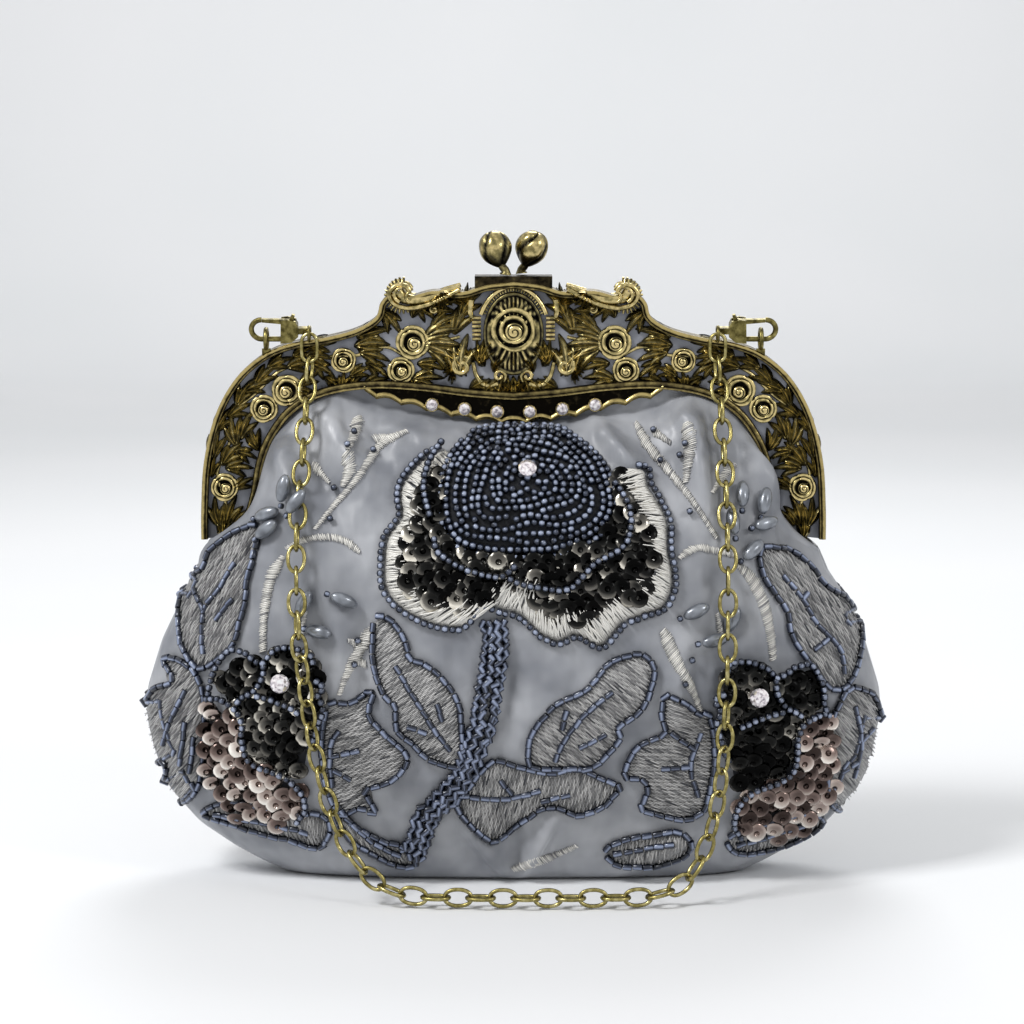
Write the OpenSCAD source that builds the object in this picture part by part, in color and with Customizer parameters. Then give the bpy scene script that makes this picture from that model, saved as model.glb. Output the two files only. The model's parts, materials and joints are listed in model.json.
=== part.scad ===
// Kiss lock frame purse with a beaded satin bag, a cast frame in two halves and a chain strap.
// Millimetres. X runs across the purse, the front faces -Y, +Z is up.
// The origin is the centre of the flat base.

/* [Bag] */
// Width of the bag at its widest
bag_w = 222; // [205:1:240]
// Depth of the bag, front to back, where the hinged panels meet it
bag_depth = 65.2; // [60:0.2:72]
// Height of the bag's rim, just under the hinge
rim_z = 92; // [88:0.5:93]
// Width of the flat base
base_w = 140; // [110:1:160]
// Depth of the flat base
base_depth = 30; // [22:1:36]
// Thickness of the satin with its interlining
satin_t = 1; // [0.8:0.1:1.4]
// Thickness of the lining
lining_t = 0.5; // [0.4:0.1:0.8]
// Play between the satin and the lining
lining_play = 0.5; // [0.3:0.1:1]
// Thickness of the base board
board_t = 1.6; // [1:0.1:2.5]
// Width of the slip pocket
pocket_w = 90; // [60:1:110]
// Height of the slip pocket
pocket_h = 46; // [30:1:50]

/* [Frame] */
// Width of the frame over its legs
frame_w = 187; // [180:1:194]
// Height from the hinge to the top of the crest
frame_rise = 81.5; // [78:0.5:88]
// Depth of one half of the frame, from the parting plane to its front
frame_depth = 6.6; // [6:0.1:8]
// Gap between the two closed halves
frame_gap = 0.5; // [0.3:0.1:0.8]
// Thickness of the outer rim
rim_t = 2; // [1.4:0.1:2.6]
// Thickness of the inner rail
rail_t = 2.4; // [1.8:0.1:3]
// Thickness of the stamped web behind the openwork
web_t = 0.8; // [0.6:0.1:1.2]
// Thickness of the cast openwork
cast_t = 1.2; // [1.2:0.1:2]
// Height of the roses above the openwork
rose_h = 1.4; // [1:0.1:1.8]
// Thickness of the backing satin under the openwork
backing_t = 0.4; // [0.3:0.1:0.6]

/* [Hinge] */
// Height of the hinge pins
hinge_z = 97; // [96:0.5:100]
// Diameter of a hinge pin
pin_d = 2.4; // [2:0.1:3]
// Radial play of a lug on its pin
pin_play = 0.05; // [0.03:0.01:0.08]
// Diameter of a hinge lug
lug_d = 6; // [5:0.1:7]
// Thickness of a hinge lug
lug_t = 1.8; // [1.4:0.1:2.2]

/* [Lock] */
// Diameter of a kiss lock bud
bud_d = 9.8; // [8:0.1:10.4]
// Height of the bud centres above the crest
bud_rise = 9.4; // [8:0.1:12]
// Clear space between the two buds
bud_gap = 0.9; // [0.5:0.1:1.5]
// Diameter of a bud's stem at its foot
stem_d = 2.6; // [2.2:0.1:3]
// Width of the plate under the buds
plate_w = 23; // [18:1:28]

/* [Chain] */
// Outer length of a chain link
link_l = 9.1; // [8.9:0.05:9.3]
// Outer width of a chain link
link_w = 6; // [5.6:0.1:6.6]
// Diameter of the link wire
link_d = 1.2; // [1:0.05:1.25]
// Distance from one link's centre to the next
link_pitch = 6.6; // [6.3:0.05:6.6]
// Diameter of the wire of an ear ring
ear_wire_d = 1.4; // [1:0.1:1.6]
// Diameter of the wire of a clasp
clasp_wire_d = 1.6; // [1.2:0.1:1.7]
// Thickness of a clasp's body
clasp_t = 2.4; // [2:0.1:2.8]

/* [Trim] */
// Diameter of a rhinestone
gem_d = 3.4; // [2.6:0.1:4]
// Height of the padded rose
rose_pad_h = 5; // [3:0.5:7]
// Height of the padded side flowers
flower_pad_h = 3; // [2:0.5:4]
// Height of the leaf pads
leaf_pad_h = 1.6; // [1:0.1:2.4]
// Length of a rice pearl
pearl_l = 8.4; // [6:0.2:10]
// Diameter of a rice pearl
pearl_d = 4; // [3:0.1:4.6]

/* [Hidden] */

satin_c = "#9aa0a8";
lining_c = "#c2c4c8";
brass_c = "#8a7442";
dark_brass_c = "#5c4c2a";
chain_c = "#9c9358";
bead_c = "#2b3347";
thread_c = "#a9abb0";
gem_c = "#f2eef0";
pearl_c = "#8a8f98";
board_c = "#b8ab90";

// Smooth curve through hand-chosen points
function spline(p, steps) = [
    for (i = [0 : len(p) - 2], k = [0 : steps - 1])
        let (a = p[max(i - 1, 0)], b = p[i], c = p[i + 1], d = p[min(i + 2, len(p) - 1)], t = k / steps)
        0.5 * (2 * b + (c - a) * t + (2 * a - 5 * b + 4 * c - d) * t * t
            + (3 * b - a - 3 * c + d) * t * t * t),
    p[len(p) - 1]
];
function reversed(p) = [for (i = [len(p) - 1 : -1 : 0]) p[i]];
function mirrored(p) = [for (i = [len(p) - 2 : -1 : 0]) [-p[i][0], p[i][1]]];
function unit(v) = v / max(norm(v), 0.000001);
// Moves an open line sideways by d, to its right
function beside(p, d) = [
    for (i = [0 : len(p) - 1])
        let (t = unit(p[min(i + 1, len(p) - 1)] - p[max(i - 1, 0)])) p[i] + d * [t[1], -t[0]]
];
function blend(a, b, t) = a + (b - a) * t;

// Frame outline, left half, from the leg's foot to the crest; heights are above the hinge
frame_sx = frame_w / 187;
frame_sz = frame_rise / 81.5;
leg_foot = 4.5;
outer_half = [
    [-93.5, leg_foot], [-93.4, 14], [-92.4, 28], [-88.8, 42], [-82.5, 53], [-74, 60.2], [-65, 63.6],
    [-56, 65], [-47, 67.4], [-41, 71], [-39.4, 75.4], [-36, 78.2], [-31, 77.2], [-24, 78.8], [-15, 78.6],
    [-8, 80.6], [0, 81.5]
];
inner_half = [
    [-81.4, leg_foot], [-78, 12], [-76, 19], [-74.6, 27], [-71.4, 35], [-65.6, 42.4], [-56.6, 47.4],
    [-43, 49.6], [-28, 49], [-13, 47.2], [0, 46.2]
];
function sized(p) = [for (q = p) [q[0] * frame_sx, hinge_z + q[1] * (q[1] > leg_foot ? frame_sz : 1)]];
outer_left = spline(sized(outer_half), 3);
inner_left = spline(sized(inner_half), 3);
outer_line = concat(outer_left, mirrored(outer_left));
inner_line = concat(inner_left, mirrored(inner_left));
crest_z = hinge_z + frame_rise;

frame_back = frame_gap / 2;
frame_front = frame_back + frame_depth;
web_back = frame_back + 2.2;
web_front = web_back + web_t;
backing_front = web_front + backing_t;
cast_front = backing_front + cast_t;

// Bag sections: height as a share of the rim's, and how far each is from the rim to the widest
bag_rings = [[1, 94.6], [0.935, 98.6], [0.77, 106], [0.61, 110.6], [0.53, 111], [0.41, 109], [0.28, 104.6],
    [0.165, 95.6], [0.085, 85], [0.03, 76]];
bag_sx = bag_w / 222;
bag_b = bag_depth / 2;
function ring_depth(s) = s > 0.6 ? bag_b + 1.6 * sin(180 * (1 - s) / 0.8)
    : blend(base_depth / 2, bag_b + 1.6, pow(max(s, 0) / 0.6, 0.55));
function oval(a, b, n, count) = [
    for (i = [0 : count - 1])
        let (t = 360 * i / count, c = cos(t), s = sin(t))
        [a * sign(c) * pow(abs(c), 2 / n), b * sign(s) * pow(abs(s), 2 / n)]
];
bag_sides = 56;
function bag_ring(s, a, d) = [
    for (q = oval(a - d, ring_depth(s) - d, 2.5, bag_sides)) [q[0], q[1], s * rim_z]
];
function base_ring(inset, z) = [
    for (q = oval(base_w / 2 - inset, base_depth / 2 - inset, 2.5, bag_sides)) [q[0], q[1], z]
];

// A closed bowl between an outer and an inner set of rings, both from the rim down
module bowl(outer, inner) {
    n = bag_sides;
    rings = concat(outer, reversed(inner));
    points = [for (r = rings, q = r) q];
    m = len(outer);
    last = len(rings) - 1;
    walls = [
        for (k = [0 : last - 1], i = [0 : n - 1])
            if (k != m - 1)
                [k * n + i, k * n + (i + 1) % n, (k + 1) * n + (i + 1) % n, (k + 1) * n + i]
    ];
    rim = [for (i = [0 : n - 1]) [last * n + i, last * n + (i + 1) % n, (i + 1) % n, i]];
    under = [for (i = [0 : n - 1]) (m - 1) * n + i];
    over = [for (i = [n - 1 : -1 : 0]) m * n + i];
    polyhedron(points, concat(walls, rim, [under], [over]), convexity = 6);
}
module satin_bag() {
    color(satin_c)
        bowl(
            concat([for (r = bag_rings) bag_ring(r[0], r[1] * bag_sx, 0)], [base_ring(0, 0)]),
            concat([for (r = bag_rings) bag_ring(r[0], r[1] * bag_sx, satin_t)],
                [base_ring(satin_t, satin_t)])
        );
}
lining_inset = satin_t + lining_play;
lining_base_z = satin_t + board_t + 0.2;
lining_rings = [for (r = bag_rings) if (r[0] > 0.05 && r[0] < 0.8) r];
module bag_lining() {
    low = lining_inset + 2.5;
    color(lining_c)
        bowl(
            concat([for (r = lining_rings) bag_ring(r[0], r[1] * bag_sx, lining_inset)],
                [base_ring(low, lining_base_z)]),
            concat([for (r = lining_rings) bag_ring(r[0], r[1] * bag_sx, lining_inset + lining_t)],
                [base_ring(low + lining_t, lining_base_z + lining_t)])
        );
}
module base_board() {
    color(board_c) translate([0, 0, satin_t + 0.1]) linear_extrude(board_t)
        polygon(oval(base_w / 2 - satin_t - 0.8, base_depth / 2 - satin_t - 0.8, 2.5, 32));
}
// Depth of a surface of the bag at a place across it and a height
function bag_half_w(z) = lookup(z / rim_z, [for (i = [len(bag_rings) - 1 : -1 : 0]) bag_rings[i]]) * bag_sx;
function bag_y(x, z, d = 0) =
    (ring_depth(z / rim_z) - d) * pow(max(0, 1 - pow(min(1, abs(x) / (bag_half_w(z) - d)), 2.5)), 0.4);
// A pad that follows the bag between two heights: outline points in X and Z, side -1 is the front
module wall_pad(outline, gap, thick, side, reach, crown = 0) {
    n = len(outline);
    cx = [for (q = outline) 1] * [for (q = outline) q[0]] / n;
    cz = [for (q = outline) 1] * [for (q = outline) q[1]] / n;
    shares = [1, 0.8, 0.6, 0.4, 0.2];
    k_last = len(shares) - 1;
    inside = [for (k = shares, q = outline) [blend(cx, q[0], k), blend(cz, q[1], k)]];
    function ground(q) = side * (reach ? skin_y(q[0], q[1]) : bag_y(q[0], q[1])) + side * gap;
    low = [for (q = inside) [q[0], ground(q), q[1]]];
    rise = [for (k = shares, q = outline) thick + crown * (1 - k * k)];
    high = [for (i = [0 : len(low) - 1]) low[i] + [0, side * rise[i], 0]];
    mid = side * (reach ? skin_y(cx, cz) : bag_y(cx, cz)) + side * gap;
    points = concat(low, high, [[cx, mid, cz], [cx, mid + side * (thick + crown), cz]]);
    m = len(shares) * n;
    function flip(f) = side < 0 ? f : reversed(f);
    faces = concat(
        [for (k = [0 : k_last - 1], i = [0 : n - 1])
            [k * n + i, k * n + (i + 1) % n, (k + 1) * n + (i + 1) % n, (k + 1) * n + i]],
        [for (k = [0 : k_last - 1], i = [0 : n - 1])
            [m + k * n + (i + 1) % n, m + k * n + i, m + (k + 1) * n + i, m + (k + 1) * n + (i + 1) % n]],
        [for (i = [0 : n - 1]) [k_last * n + i, k_last * n + (i + 1) % n, 2 * m]],
        [for (i = [0 : n - 1]) [m + k_last * n + (i + 1) % n, m + k_last * n + i, 2 * m + 1]],
        [for (i = [0 : n - 1]) [i, m + i, m + (i + 1) % n, (i + 1) % n]]
    );
    polyhedron(points, [for (f = faces) flip(f)], convexity = 4);
}
module slip_pocket() {
    d = lining_inset + lining_t;
    outline = [for (s = [[-1, 0], [-0.5, 0], [0, 0], [0.5, 0], [1, 0], [1, 0.5], [1, 1], [0.5, 1], [0, 1],
        [-0.5, 1], [-1, 1], [-1, 0.5]]) [s[0] * pocket_w / 2, 18 + s[1] * pocket_h]];
    color(lining_c) wall_pad(outline, -d - 0.3 - lining_t, lining_t, 1, false);
}

// Panels of the hinged halves
panel_clear = 0.8;
panel_r = bag_b - satin_t - panel_clear;
panel_half = bag_half_w(rim_z) - satin_t - 1.2;
leg_cover = frame_front + 0.4;
rail_sit = frame_back + 1.6;
function seam_share(x) = pow(max(0, 1 - pow(min(1, abs(x) / panel_half), 2.3)), 1 / 2.3);
function seam_y(x, d) = max(leg_cover, panel_r * seam_share(x)) - d;
// Top edge of a panel: along the rail and then down over the leg; [x, z, depth there]
rail_top = [[0, 45.8], [-13, 46.8], [-28, 48.6], [-43, 49.2], [-56.2, 46.9], [-65, 41.8], [-70.8, 34.6]];
panel_top_left = concat(
    [for (q = rail_top) [q[0] * frame_sx, hinge_z + q[1] * frame_sz - 0.4, rail_sit + 1]],
    [[-73.4 * frame_sx, hinge_z + 25, leg_cover], [-77 * frame_sx, hinge_z + 15, leg_cover + 1.2],
        [-84 * frame_sx, hinge_z + 7, leg_cover + 1], [-panel_half + 0.6, hinge_z + 1.5, leg_cover]]
);
panel_top = concat(reversed(panel_top_left), [for (i = [1 : len(panel_top_left) - 1])
    [-panel_top_left[i][0], panel_top_left[i][1], panel_top_left[i][2]]]);
panel_foot_z = rim_z - 1.6;
panel_rows = [0, 0.1, 0.22, 0.36, 0.52, 0.68, 0.82, 0.92, 1];
// Foot of the column that ends at a top point
function foot_x(q) = sign(q[0]) * panel_half * pow(abs(q[0]) / panel_half, 0.9);
function panel_y(x, t, top_d, d) =
    blend(top_d, seam_y(x, 0), pow(max(0, 1 - pow(t, 1.5)), 0.7)) - d;
// The satin lies flat behind the apron
apron_half = 44.5;
apron_drop = 6.2;
function rise_share(q, z) =
    let (flat = (apron_drop + 1.6) * max(0, 1 - pow(abs(q[0]) / (apron_half + 8), 6)))
    max(0, min(1, (z - hinge_z) / max(1, q[1] - hinge_z - flat)));
function panel_point(q, t, d) =
    let (z = blend(panel_foot_z, q[1], t), x = blend(foot_x(q), q[0], t),
        up = rise_share(q, z))
    [x, -panel_y(x, up, q[2], d), z];
// The bag's rim still stands proud this far above itself
rim_lip = 9;
function skin_y(x, z) =
    let (q = panel_top[nearest_col(x)], up = rise_share(q, z))
    max(z < rim_z + rim_lip ? bag_y(x, min(z, rim_z)) : 0, z < rim_z ? 0 : panel_y(x, min(1, up), q[2], 0));
function nearest_col(x) =
    let (gaps = [for (q = panel_top) abs(q[0] - x)], low = min(gaps))
    [for (i = [0 : len(gaps) - 1]) if (gaps[i] == low) i][0];
// A panel skin: columns of panel_top from first to last, outside d inside the bag's surface
module panel_skin(d, thick, drop, low, first, last) {
    cols = [for (i = [first : last]) i];
    rows = [for (t = panel_rows) if (t >= low) t];
    nc = len(cols);
    nr = len(rows);
    function at(i, t, dd) = panel_point([panel_top[i][0], panel_top[i][1] - drop, panel_top[i][2]], t, dd);
    outside = [for (t = rows, i = cols) at(i, t, d)];
    inside = [for (t = rows, i = cols) at(i, t, d + thick)];
    m = nr * nc;
    faces = concat(
        [for (r = [0 : nr - 2], c = [0 : nc - 2])
            [r * nc + c, (r + 1) * nc + c, (r + 1) * nc + c + 1, r * nc + c + 1]],
        [for (r = [0 : nr - 2], c = [0 : nc - 2])
            [m + r * nc + c, m + r * nc + c + 1, m + (r + 1) * nc + c + 1, m + (r + 1) * nc + c]],
        [for (c = [0 : nc - 2]) [c, c + 1, m + c + 1, m + c]],
        [for (c = [0 : nc - 2]) let (b = (nr - 1) * nc) [b + c + 1, b + c, m + b + c, m + b + c + 1]],
        [for (r = [0 : nr - 2]) [(r + 1) * nc, r * nc, m + r * nc, m + (r + 1) * nc]],
        [for (r = [0 : nr - 2]) let (b = r * nc + nc - 1) [b, b + nc, m + b + nc, m + b]]
    );
    polyhedron(concat(outside, inside), [for (f = faces) reversed(f)], convexity = 6);
}
last_col = len(panel_top) - 1;
module front_panel() {
    color(satin_c) panel_skin(0, 0.8, 0, 0, 0, last_col);
}
module front_panel_lining() {
    color(lining_c) panel_skin(1.2, lining_t, 1.2, 0.1, 5, last_col - 5);
}

// Pads, pearls and stones on the bag
function round_outline(cx, cz, rx, rz, n) = [
    for (i = [0 : n - 1]) [cx + rx * cos(360 * i / n), cz + rz * sin(360 * i / n)]
];
// Leaf outline from its base, pointing along an angle
function leaf_outline(x, z, angle, l, w) = [
    for (i = [0 : 15])
        let (t = i < 8 ? i / 8 : (16 - i) / 8, s = i < 8 ? -1 : 1, u = l * t,
            v = s * w / 2 * pow(sin(180 * t), 0.8))
        [x + u * cos(angle) - v * sin(angle), z + u * sin(angle) + v * cos(angle)]
];
rose_outline = spline([[-20, 127], [-33, 116], [-38, 100], [-37, 84], [-22, 75], [-10, 79], [4, 76], [18, 70],
    [31, 75], [45, 82], [46, 98], [43, 113], [34, 124], [18, 131], [-2, 132], [-20, 127]], 2);
rose_edge = [for (i = [0 : len(rose_outline) - 2]) rose_outline[i]];
rose_gap = 0.9;
module rose_pad(side) {
    color(bead_c) wall_pad(rose_edge, rose_gap, 1.4, side, true, rose_pad_h - rose_gap);
}
module centre_rose() {
    rose_pad(-1);
}
module rear_rose() {
    rose_pad(1);
}
flower_x = 69;
flower_z = 42;
module side_flower_pads() {
    color(bead_c)
        for (side = [-1, 1], hand = [-1, 1])
            wall_pad(round_outline(hand * flower_x, flower_z, 19, 24, 18), 0.3, 0.8, side, false,
                flower_pad_h);
}
// Leaves of the bag: base x, base z, angle, length, width
leaf_beds = [
    [-16, 46, 124, 40, 19], [8, 46, 40, 42, 18], [-17, 24, 6, 44, 15], [-29, 31, 150, 19, 16],
    [33, 24, 62, 26, 15], [26, 12, 8, 24, 9], [-92, 66, 68, 22, 13], [92, 66, 112, 22, 13]
];
module leaf_pads(side) {
    color(thread_c)
        for (q = leaf_beds) wall_pad(leaf_outline(q[0], q[1], q[2], q[3], q[4]), 0.3, leaf_pad_h * 0.4, side,
            false, leaf_pad_h * 0.6);
}
module front_leaf_pads() {
    leaf_pads(-1);
}
module rear_leaf_pads() {
    leaf_pads(1);
}
stem_route = spline([[-6, 69], [-6, 61], [-9, 48], [-14, 34], [-20, 24]], 3);
module rose_stem() {
    stem_w = 6;
    color(bead_c) for (side = [-1, 1]) strip(stem_route, stem_w, 2, side);
}
// A raised strip along a line on the bag
module strip(route, w, thick, side) {
    n = len(route);
    edges = [beside(route, w / 2), beside(route, w / 4), route, beside(route, -w / 4), beside(route, -w / 2)];
    rise = [0.7, 1.8, 2.2, 1.8, 0.7] * thick / 2;
    base = [for (e = edges, q = e) [q[0], side * (bag_y(q[0], q[1]) + 0.3), q[1]]];
    top = [for (e = [0 : 4], q = edges[e]) [q[0], side * (bag_y(q[0], q[1]) + 0.3 + rise[e]), q[1]]];
    m = 5 * n;
    faces = concat(
        [for (e = [0 : 3], i = [0 : n - 2]) [e * n + i, (e + 1) * n + i, (e + 1) * n + i + 1, e * n + i + 1]],
        [for (e = [0 : 3], i = [0 : n - 2])
            [m + e * n + i, m + e * n + i + 1, m + (e + 1) * n + i + 1, m + (e + 1) * n + i]],
        [for (i = [0 : n - 2]) [i, i + 1, m + i + 1, m + i]],
        [for (i = [0 : n - 2]) [4 * n + i + 1, 4 * n + i, m + 4 * n + i, m + 4 * n + i + 1]],
        [for (e = [0 : 3]) [(e + 1) * n, e * n, m + e * n, m + (e + 1) * n]],
        [for (e = [0 : 3]) let (b = n - 1) [e * n + b, (e + 1) * n + b, m + (e + 1) * n + b, m + e * n + b]]
    );
    polyhedron(concat(base, top), [for (f = faces) side < 0 ? reversed(f) : f], convexity = 4);
}
// Pearls: x, z, turn about Y
low_pearls = [[-51, 85, 20], [-57, 76, 40], [-62, 84, 10], [55, 82, -20], [66, 79, 10], [59, 73, 40]];
high_pearls = [[-72, 109, 0], [-71, 114.5, 0], [-67, 120, 60], [67, 120, 60], [72, 114.5, 60], [72, 109.5, 0]];
pearl_gap = 0.6;
module pearl(x, z, turn, side, reach) {
    function skin(x, z) = reach ? skin_y(x, z) : bag_y(x, z);
    step = 3;
    slope_x = (skin(x + step, z) - skin(x - step, z)) / (2 * step);
    slope_z = (skin(x, z + step) - skin(x, z - step)) / (2 * step);
    along = unit([cos(turn), side * (slope_x * cos(turn) + slope_z * sin(turn)), sin(turn)]);
    stand = (pearl_d / 2 + pearl_gap) * norm([1, slope_x, slope_z]);
    profile = [for (i = [0 : 10]) [pearl_d / 2 * sin(18 * i), -pearl_l / 2 * cos(18 * i)]];
    translate([x, side * (skin(x, z) + stand), z]) rotate([0, acos(along[2]), atan2(along[1], along[0])])
        rotate_extrude($fn = 24) polygon(profile);
}
module lower_pearls() {
    color(pearl_c) for (side = [-1, 1], q = low_pearls) pearl(q[0], q[1], q[2], side, false);
}
module upper_pearls() {
    color(pearl_c) for (q = high_pearls) pearl(q[0], q[1], q[2], -1, true);
}
// A cut stone in a cup, facing the front, its back at a depth
module stone(x, z, depth, d) {
    color(gem_c) translate([x, -depth, z]) rotate([90, 0, 0]) {
        cylinder(d = d, h = d * 0.15, $fn = 24);
        translate([0, 0, d * 0.15]) cylinder(d1 = d, d2 = d * 0.55, h = d * 0.2, $fn = 24);
    }
}
side_gem_d = 5.7;
module side_gems() {
    for (hand = [-1, 1])
        stone(hand * flower_x, flower_z + 16, bag_y(flower_x, flower_z + 16) + 0.5 + flower_pad_h * 0.6 + 1.2,
            side_gem_d);
}
module rose_gem() {
    stone(5, 117, skin_y(5, 117) + rose_gap + 1.4 + rose_pad_h, side_gem_d - 0.4);
}

// One half of the frame, drawn for the front
module faced(from, to) {
    translate([0, -from, 0]) rotate([90, 0, 0]) linear_extrude(to - from) children();
}
module band(line, t) {
    polygon(concat(line, reversed(beside(line, t))));
}
module bed(inset) {
    polygon(concat(beside(outer_line, rim_t + inset), reversed(beside(inner_line, -rail_t - inset))));
}
module channel() {
    color(dark_brass_c) {
        faced(frame_back, frame_front) band(outer_line, rim_t);
        faced(frame_back, frame_front - 0.4) band(inner_line, -rail_t);
        faced(web_back, web_front) bed(-0.6);
    }
}
// Roses of the left half: x, height above the hinge, radius
roses = [
    [-30, 63.4, 5.1], [-33.5, 55, 4.1], [-50.6, 58, 3.8], [-67.4, 49, 4.8], [-74.4, 43.6, 4.2], [-86.4, 20, 4]
];
// Leaves of the left half: x and height of the middle, turn, length
sprigs = [
    [-20, 67.5, 28, 11], [-21, 63, 10, 11], [-20, 58.6, -28, 10], [-14.8, 60, 78, 12], [-15.4, 70.5, 60, 11],
    [-33, 73.6, 24, 13], [-26, 73.6, 10, 11], [-36.8, 70, -50, 9], [-41.6, 64.8, 8, 11], [-41.6, 60.6, -8, 9],
    [-40.6, 55, -30, 8], [-24, 54, -14, 9], [-25.6, 50.8, -4, 8], [-44.4, 53.6, 20, 8], [-57.4, 61.4, 12, 8],
    [-57.6, 56.4, -30, 8], [-50.4, 52.4, 84, 7], [-62, 60.4, 30, 8], [-60.6, 53, 26, 8], [-69.6, 56.4, 20, 9],
    [-75.6, 52, 50, 9], [-80.4, 46.6, 40, 9], [-81.4, 39.6, 60, 10], [-78.6, 34.8, 84, 9], [-86, 37, 70, 10],
    [-84.6, 30, 40, 9], [-81, 26, -20, 8], [-89.6, 28, 84, 9], [-88, 11.6, 80, 10], [-83.6, 13.4, 60, 8],
    [-11.6, 53.6, -40, 8], [-17.4, 52.4, 30, 8], [-8.6, 51.2, 10, 8], [-3.4, 50.6, 70, 7]
];
module sprig(q) {
    l = q[3];
    w = l * 0.38;
    r = (l * l + w * w) / (4 * w);
    translate([q[0] * frame_sx, hinge_z + q[1] * frame_sz]) rotate(q[2]) intersection() {
        translate([0, r - w / 2]) circle(r = r, $fn = 40);
        translate([0, w / 2 - r]) circle(r = r, $fn = 40);
    }
}
medal_z = hinge_z + 66 * frame_sz;
medal_rx = 9;
medal_rz = 12.4;
module openwork() {
    color(brass_c) faced(backing_front, cast_front) difference() {
        intersection() {
            bed(0.1);
            union()
                for (hand = [0, 1]) mirror([hand, 0]) {
                    for (q = sprigs) sprig(q);
                    for (q = roses)
                        translate([q[0] * frame_sx, hinge_z + q[1] * frame_sz]) circle(r = q[2], $fn = 24);
                }
        }
        translate([0, medal_z]) polygon(oval(medal_rx + 0.1, medal_rz + 0.1, 2, 40));
    }
}
module rose_head(r, h) {
    cylinder(r = r * 0.8, h = h * 0.35, $fn = 24);
    cylinder(r = r * 0.52, h = h * 0.7, $fn = 20);
    cylinder(r = r * 0.26, h = h, $fn = 16);
}
module rose_heads() {
    color(brass_c)
        for (hand = [-1, 1], q = roses)
            translate([-hand * q[0] * frame_sx, -cast_front, hinge_z + q[1] * frame_sz]) rotate([90, 0, 0])
                rose_head(q[2] * 0.92, rose_h);
}
module medallion() {
    color(brass_c) {
        faced(backing_front, cast_front + 0.6)
            translate([0, medal_z]) polygon(oval(medal_rx, medal_rz, 2, 40));
        translate([0, -cast_front - 0.5, medal_z + 1]) rotate([90, 0, 0]) rose_head(6.4, rose_h + 1);
    }
}
module backing() {
    color(satin_c) faced(web_front, backing_front) bed(0.1);
}
apron_back = rail_sit + 2.9;
apron_t = 1;
scallops = 12;
function rail_z(x) = lookup(-abs(x), inner_left);
module front_apron() {
    across = [for (i = [0 : 96]) blend(-apron_half, apron_half, i / 96)];
    upper = [for (x = across) [x, rail_z(x) - 0.05]];
    lower = [
        for (x = across)
            let (reach = apron_drop * pow(max(0, cos(90 * x / apron_half)), 0.6),
                scallop = 0.9 * abs(cos(x / apron_half * 90 * scallops)))
            [x, rail_z(x) - 1.3 - reach + scallop]
    ];
    color(dark_brass_c) faced(apron_back, apron_back + apron_t) polygon(concat(upper, reversed(lower)));
}
gem_pitch = 9.7;
gem_spots = [for (i = [0 : 5]) let (x = (i - 2.5) * gem_pitch) [x, rail_z(x) - 3.7]];
module apron_cups() {
    color(brass_c) for (q = gem_spots) translate([q[0], -apron_back - apron_t, q[1]]) rotate([90, 0, 0])
        cylinder(d = gem_d + 0.8, h = 0.7, $fn = 24);
}
module apron_gems() {
    for (q = gem_spots) stone(q[0], q[1], apron_back + apron_t + 0.7, gem_d);
}

// Hinge: the front half's lugs sit outside the rear half's on each pin
lug_gap = 0.3;
lug_x = frame_w / 2 - 5.2;
module lugs(x) {
    color(dark_brass_c) for (hand = [0, 1]) mirror([hand, 0, 0]) difference() {
        union() {
            translate([x, 0, hinge_z]) rotate([0, 90, 0]) cylinder(d = lug_d, h = lug_t, $fn = 32);
            translate([x, frame_back - web_back + 0.05 - frame_back, hinge_z])
                cube([lug_t, web_back - frame_back - 0.15, leg_foot + 4]);
        }
        translate([x - 1, 0, hinge_z]) rotate([0, 90, 0])
            cylinder(r = pin_d / 2 + pin_play, h = lug_t + 2, $fn = 32);
    }
}
module hinge_pins() {
    head_t = 0.8;
    start = lug_x - 2 * lug_t - lug_gap - 0.1;
    span = 2 * lug_t + lug_gap + 0.2;
    color(brass_c) for (hand = [0, 1])
        mirror([hand, 0, 0]) translate([start, 0, hinge_z]) rotate([0, 90, 0]) {
            cylinder(d = pin_d, h = span, $fn = 32);
            translate([0, 0, -head_t]) cylinder(d = pin_d + 2, h = head_t, $fn = 32);
            translate([0, 0, span]) cylinder(d = pin_d + 2, h = head_t, $fn = 32);
        }
}

// Lock: a seat on each half carries a bud on a bent stem
bud_x = (bud_d + bud_gap) / 2;
bud_z = crest_z + bud_rise;
seat_depth = frame_back + 2.2;
seat_h = 1.6;
seat_x = 2.4;
module lock_seat() {
    color(dark_brass_c) difference() {
        translate([-plate_w / 2, -frame_front + 0.6, crest_z - 4])
            cube([plate_w, frame_depth - 0.6, 4 + seat_h]);
        faced(frame_back - 1, frame_front + 1) polygon(outer_line);
    }
}
foot_z = crest_z + seat_h + 0.3;
module bud_and_stem() {
    top = [-bud_x, -1.4, bud_z];
    foot = [-seat_x, -seat_depth - 0.6, foot_z];
    reach = top - foot;
    lean = acos(reach[2] / norm(reach));
    turn = atan2(reach[1], reach[0]);
    color(brass_c) {
        translate(top) sphere(d = bud_d, $fn = 40);
        translate(foot + [0, 0, 0.6]) rotate([0, lean, turn])
            cylinder(d1 = stem_d, d2 = stem_d * 0.9, h = norm(reach) - 2, $fn = 24);
        translate(foot) cylinder(d = stem_d + 1, h = 1.1, $fn = 24);
    }
}

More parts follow.
